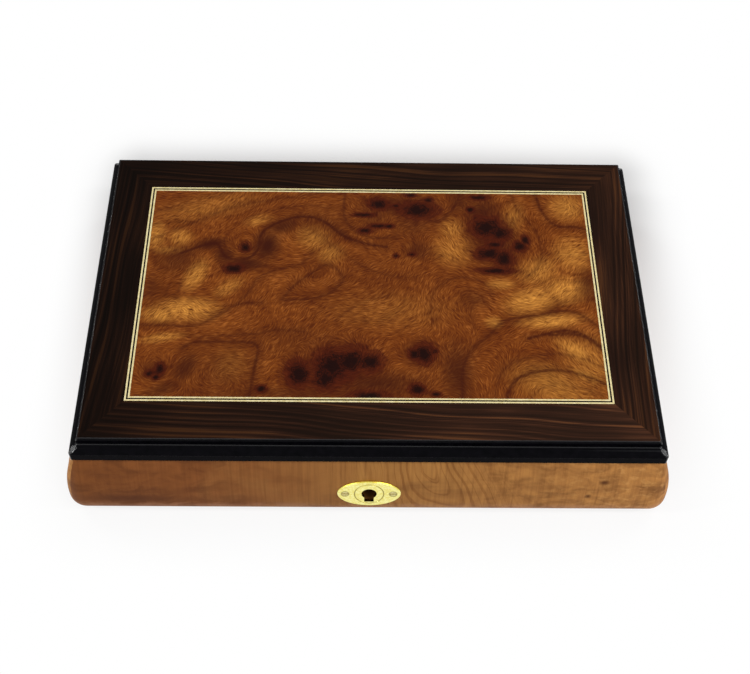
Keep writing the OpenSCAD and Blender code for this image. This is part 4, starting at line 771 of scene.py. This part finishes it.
# The shadow shows up to about 40 mm from the box, mostly behind it, and fades to plain white; part of it is
# painted into the floor's colour
place = add(tree, "TexCoord").outputs["Object"]
away = add(tree, "VectorMath", {0: place, 1: shadow_middle}, operation="SUBTRACT")
away = add(tree, "VectorMath", {0: away}, operation="ABSOLUTE")
away = add(tree, "VectorMath", {0: away, 1: shadow_half}, operation="SUBTRACT")
away = add(tree, "VectorMath", {0: away, 1: (0, 0, 0)}, operation="MAXIMUM")
away = add(tree, "VectorMath", {0: away}, operation="LENGTH").outputs["Value"]
depth = add(tree, "SeparateXYZ", {"Vector": place}).outputs["Y"]
least = add(tree, "MapRange", {"Value": depth, "From Min": -0.08, "From Max": 0.09, "To Min": 0.8,
                               "To Max": 0.05})
plain = add(tree, "MapRange", {"Value": away, "From Max": shadow_reach, "To Min": least, "To Max": 1},
            interpolation_type="SMOOTHSTEP")
# Painted shadow: the floor's own colour darkens from #EDEDED to #C2C2C2 close to the box, most behind it
join(tree, shader, Base_Color=add(tree, "ValToRGB", {"Fac": plain}, [(0.0, "#C2C2C2"), (0.8, "#EDEDED")]))
glow = add(tree, "Emission", {"Color": colour("#FFFFFF"), "Strength": 1.0})
share = add(tree, "Math", {0: plainly_seen(tree), 1: plain}, operation="MULTIPLY")
mixed = add(tree, "MixShader", {"Fac": share, 1: shader, 2: glow})
tree.links.new(mixed.outputs[0], tree.nodes["Material Output"].inputs["Surface"])
floor.data.materials.append(paper)

world = bpy.data.worlds.new("studio_room")
world.use_nodes = True
tree = world.node_tree
room = add(tree, "MapRange", {"Value": plainly_seen(tree), "To Min": 0.24, "To Max": 1})
tree.links.new(room.outputs["Result"], tree.nodes["Background"].inputs["Strength"])
tree.nodes["Background"].inputs["Color"].default_value = (1, 1, 1, 1)
bpy.context.scene.world = world


def lamp(name, place, aim, width, height, power):
    """A soft oblong light that looks at a point."""
    light = bpy.data.lights.new(name, "AREA")
    light.shape, light.size, light.size_y, light.energy = "RECTANGLE", width, height, power
    holder = bpy.data.objects.new(name, light)
    holder.location = place
    holder.rotation_euler = (Vector(aim) - Vector(place)).to_track_quat("-Z", "Y").to_euler()
    bpy.context.scene.collection.objects.link(holder)


lamp("key", (0.9, -0.7, 1.1), (0, 0, 0), 0.9, 0.9, 11.5)
lamp("fill", (-1.0, -0.9, 0.9), (0, 0, 0), 1.0, 1.0, 5.5)
# Small lights draw the bright lines on the lid's black edges and mitres
lamp("right_rim", (0.89, 0.7, 0.65), (0, 0, 0), 0.55, 0.05, 4)
lamp("left_rim", (-0.9, 0.7, 0.65), (0, 0, 0), 0.55, 0.05, 4)
lamp("left_side", (-1.186, -0.22, 0.78), (0, 0, 0), 0.12, 0.12, 5)
lamp("right_side", (1.206, -0.21, 0.76), (0, 0, 0), 0.12, 0.12, 5)

# Camera: fitted to the lid's rectangles in the photograph, with the box's middle at the floor as
# its origin; it looks down at about 55 degrees, slightly turned and rolled.
camera_place, lens = Vector((-7.321, -346.48, 503.59)) / 1000, 58.757
tilt, yaw, roll_turn = math.radians(54.933), math.radians(1.7233), math.radians(1.851)
ahead = Vector((math.sin(yaw) * math.cos(tilt), math.cos(yaw) * math.cos(tilt), -math.sin(tilt)))
right = Vector((math.cos(yaw), -math.sin(yaw), 0))
up = right.cross(ahead)
right_rolled = math.cos(roll_turn) * right + math.sin(roll_turn) * up
up_rolled = math.cos(roll_turn) * up - math.sin(roll_turn) * right
camera = bpy.data.cameras.new("photo_camera")
camera.sensor_width, camera.lens = 36, lens
holder = bpy.data.objects.new("photo_camera", camera)
holder.matrix_world = Matrix.Translation(camera_place) @ Matrix(
    (right_rolled, up_rolled, -ahead)).transposed().to_4x4()
bpy.context.scene.collection.objects.link(holder)
bpy.context.scene.camera = holder
bpy.context.scene.view_settings.view_transform = "Standard"
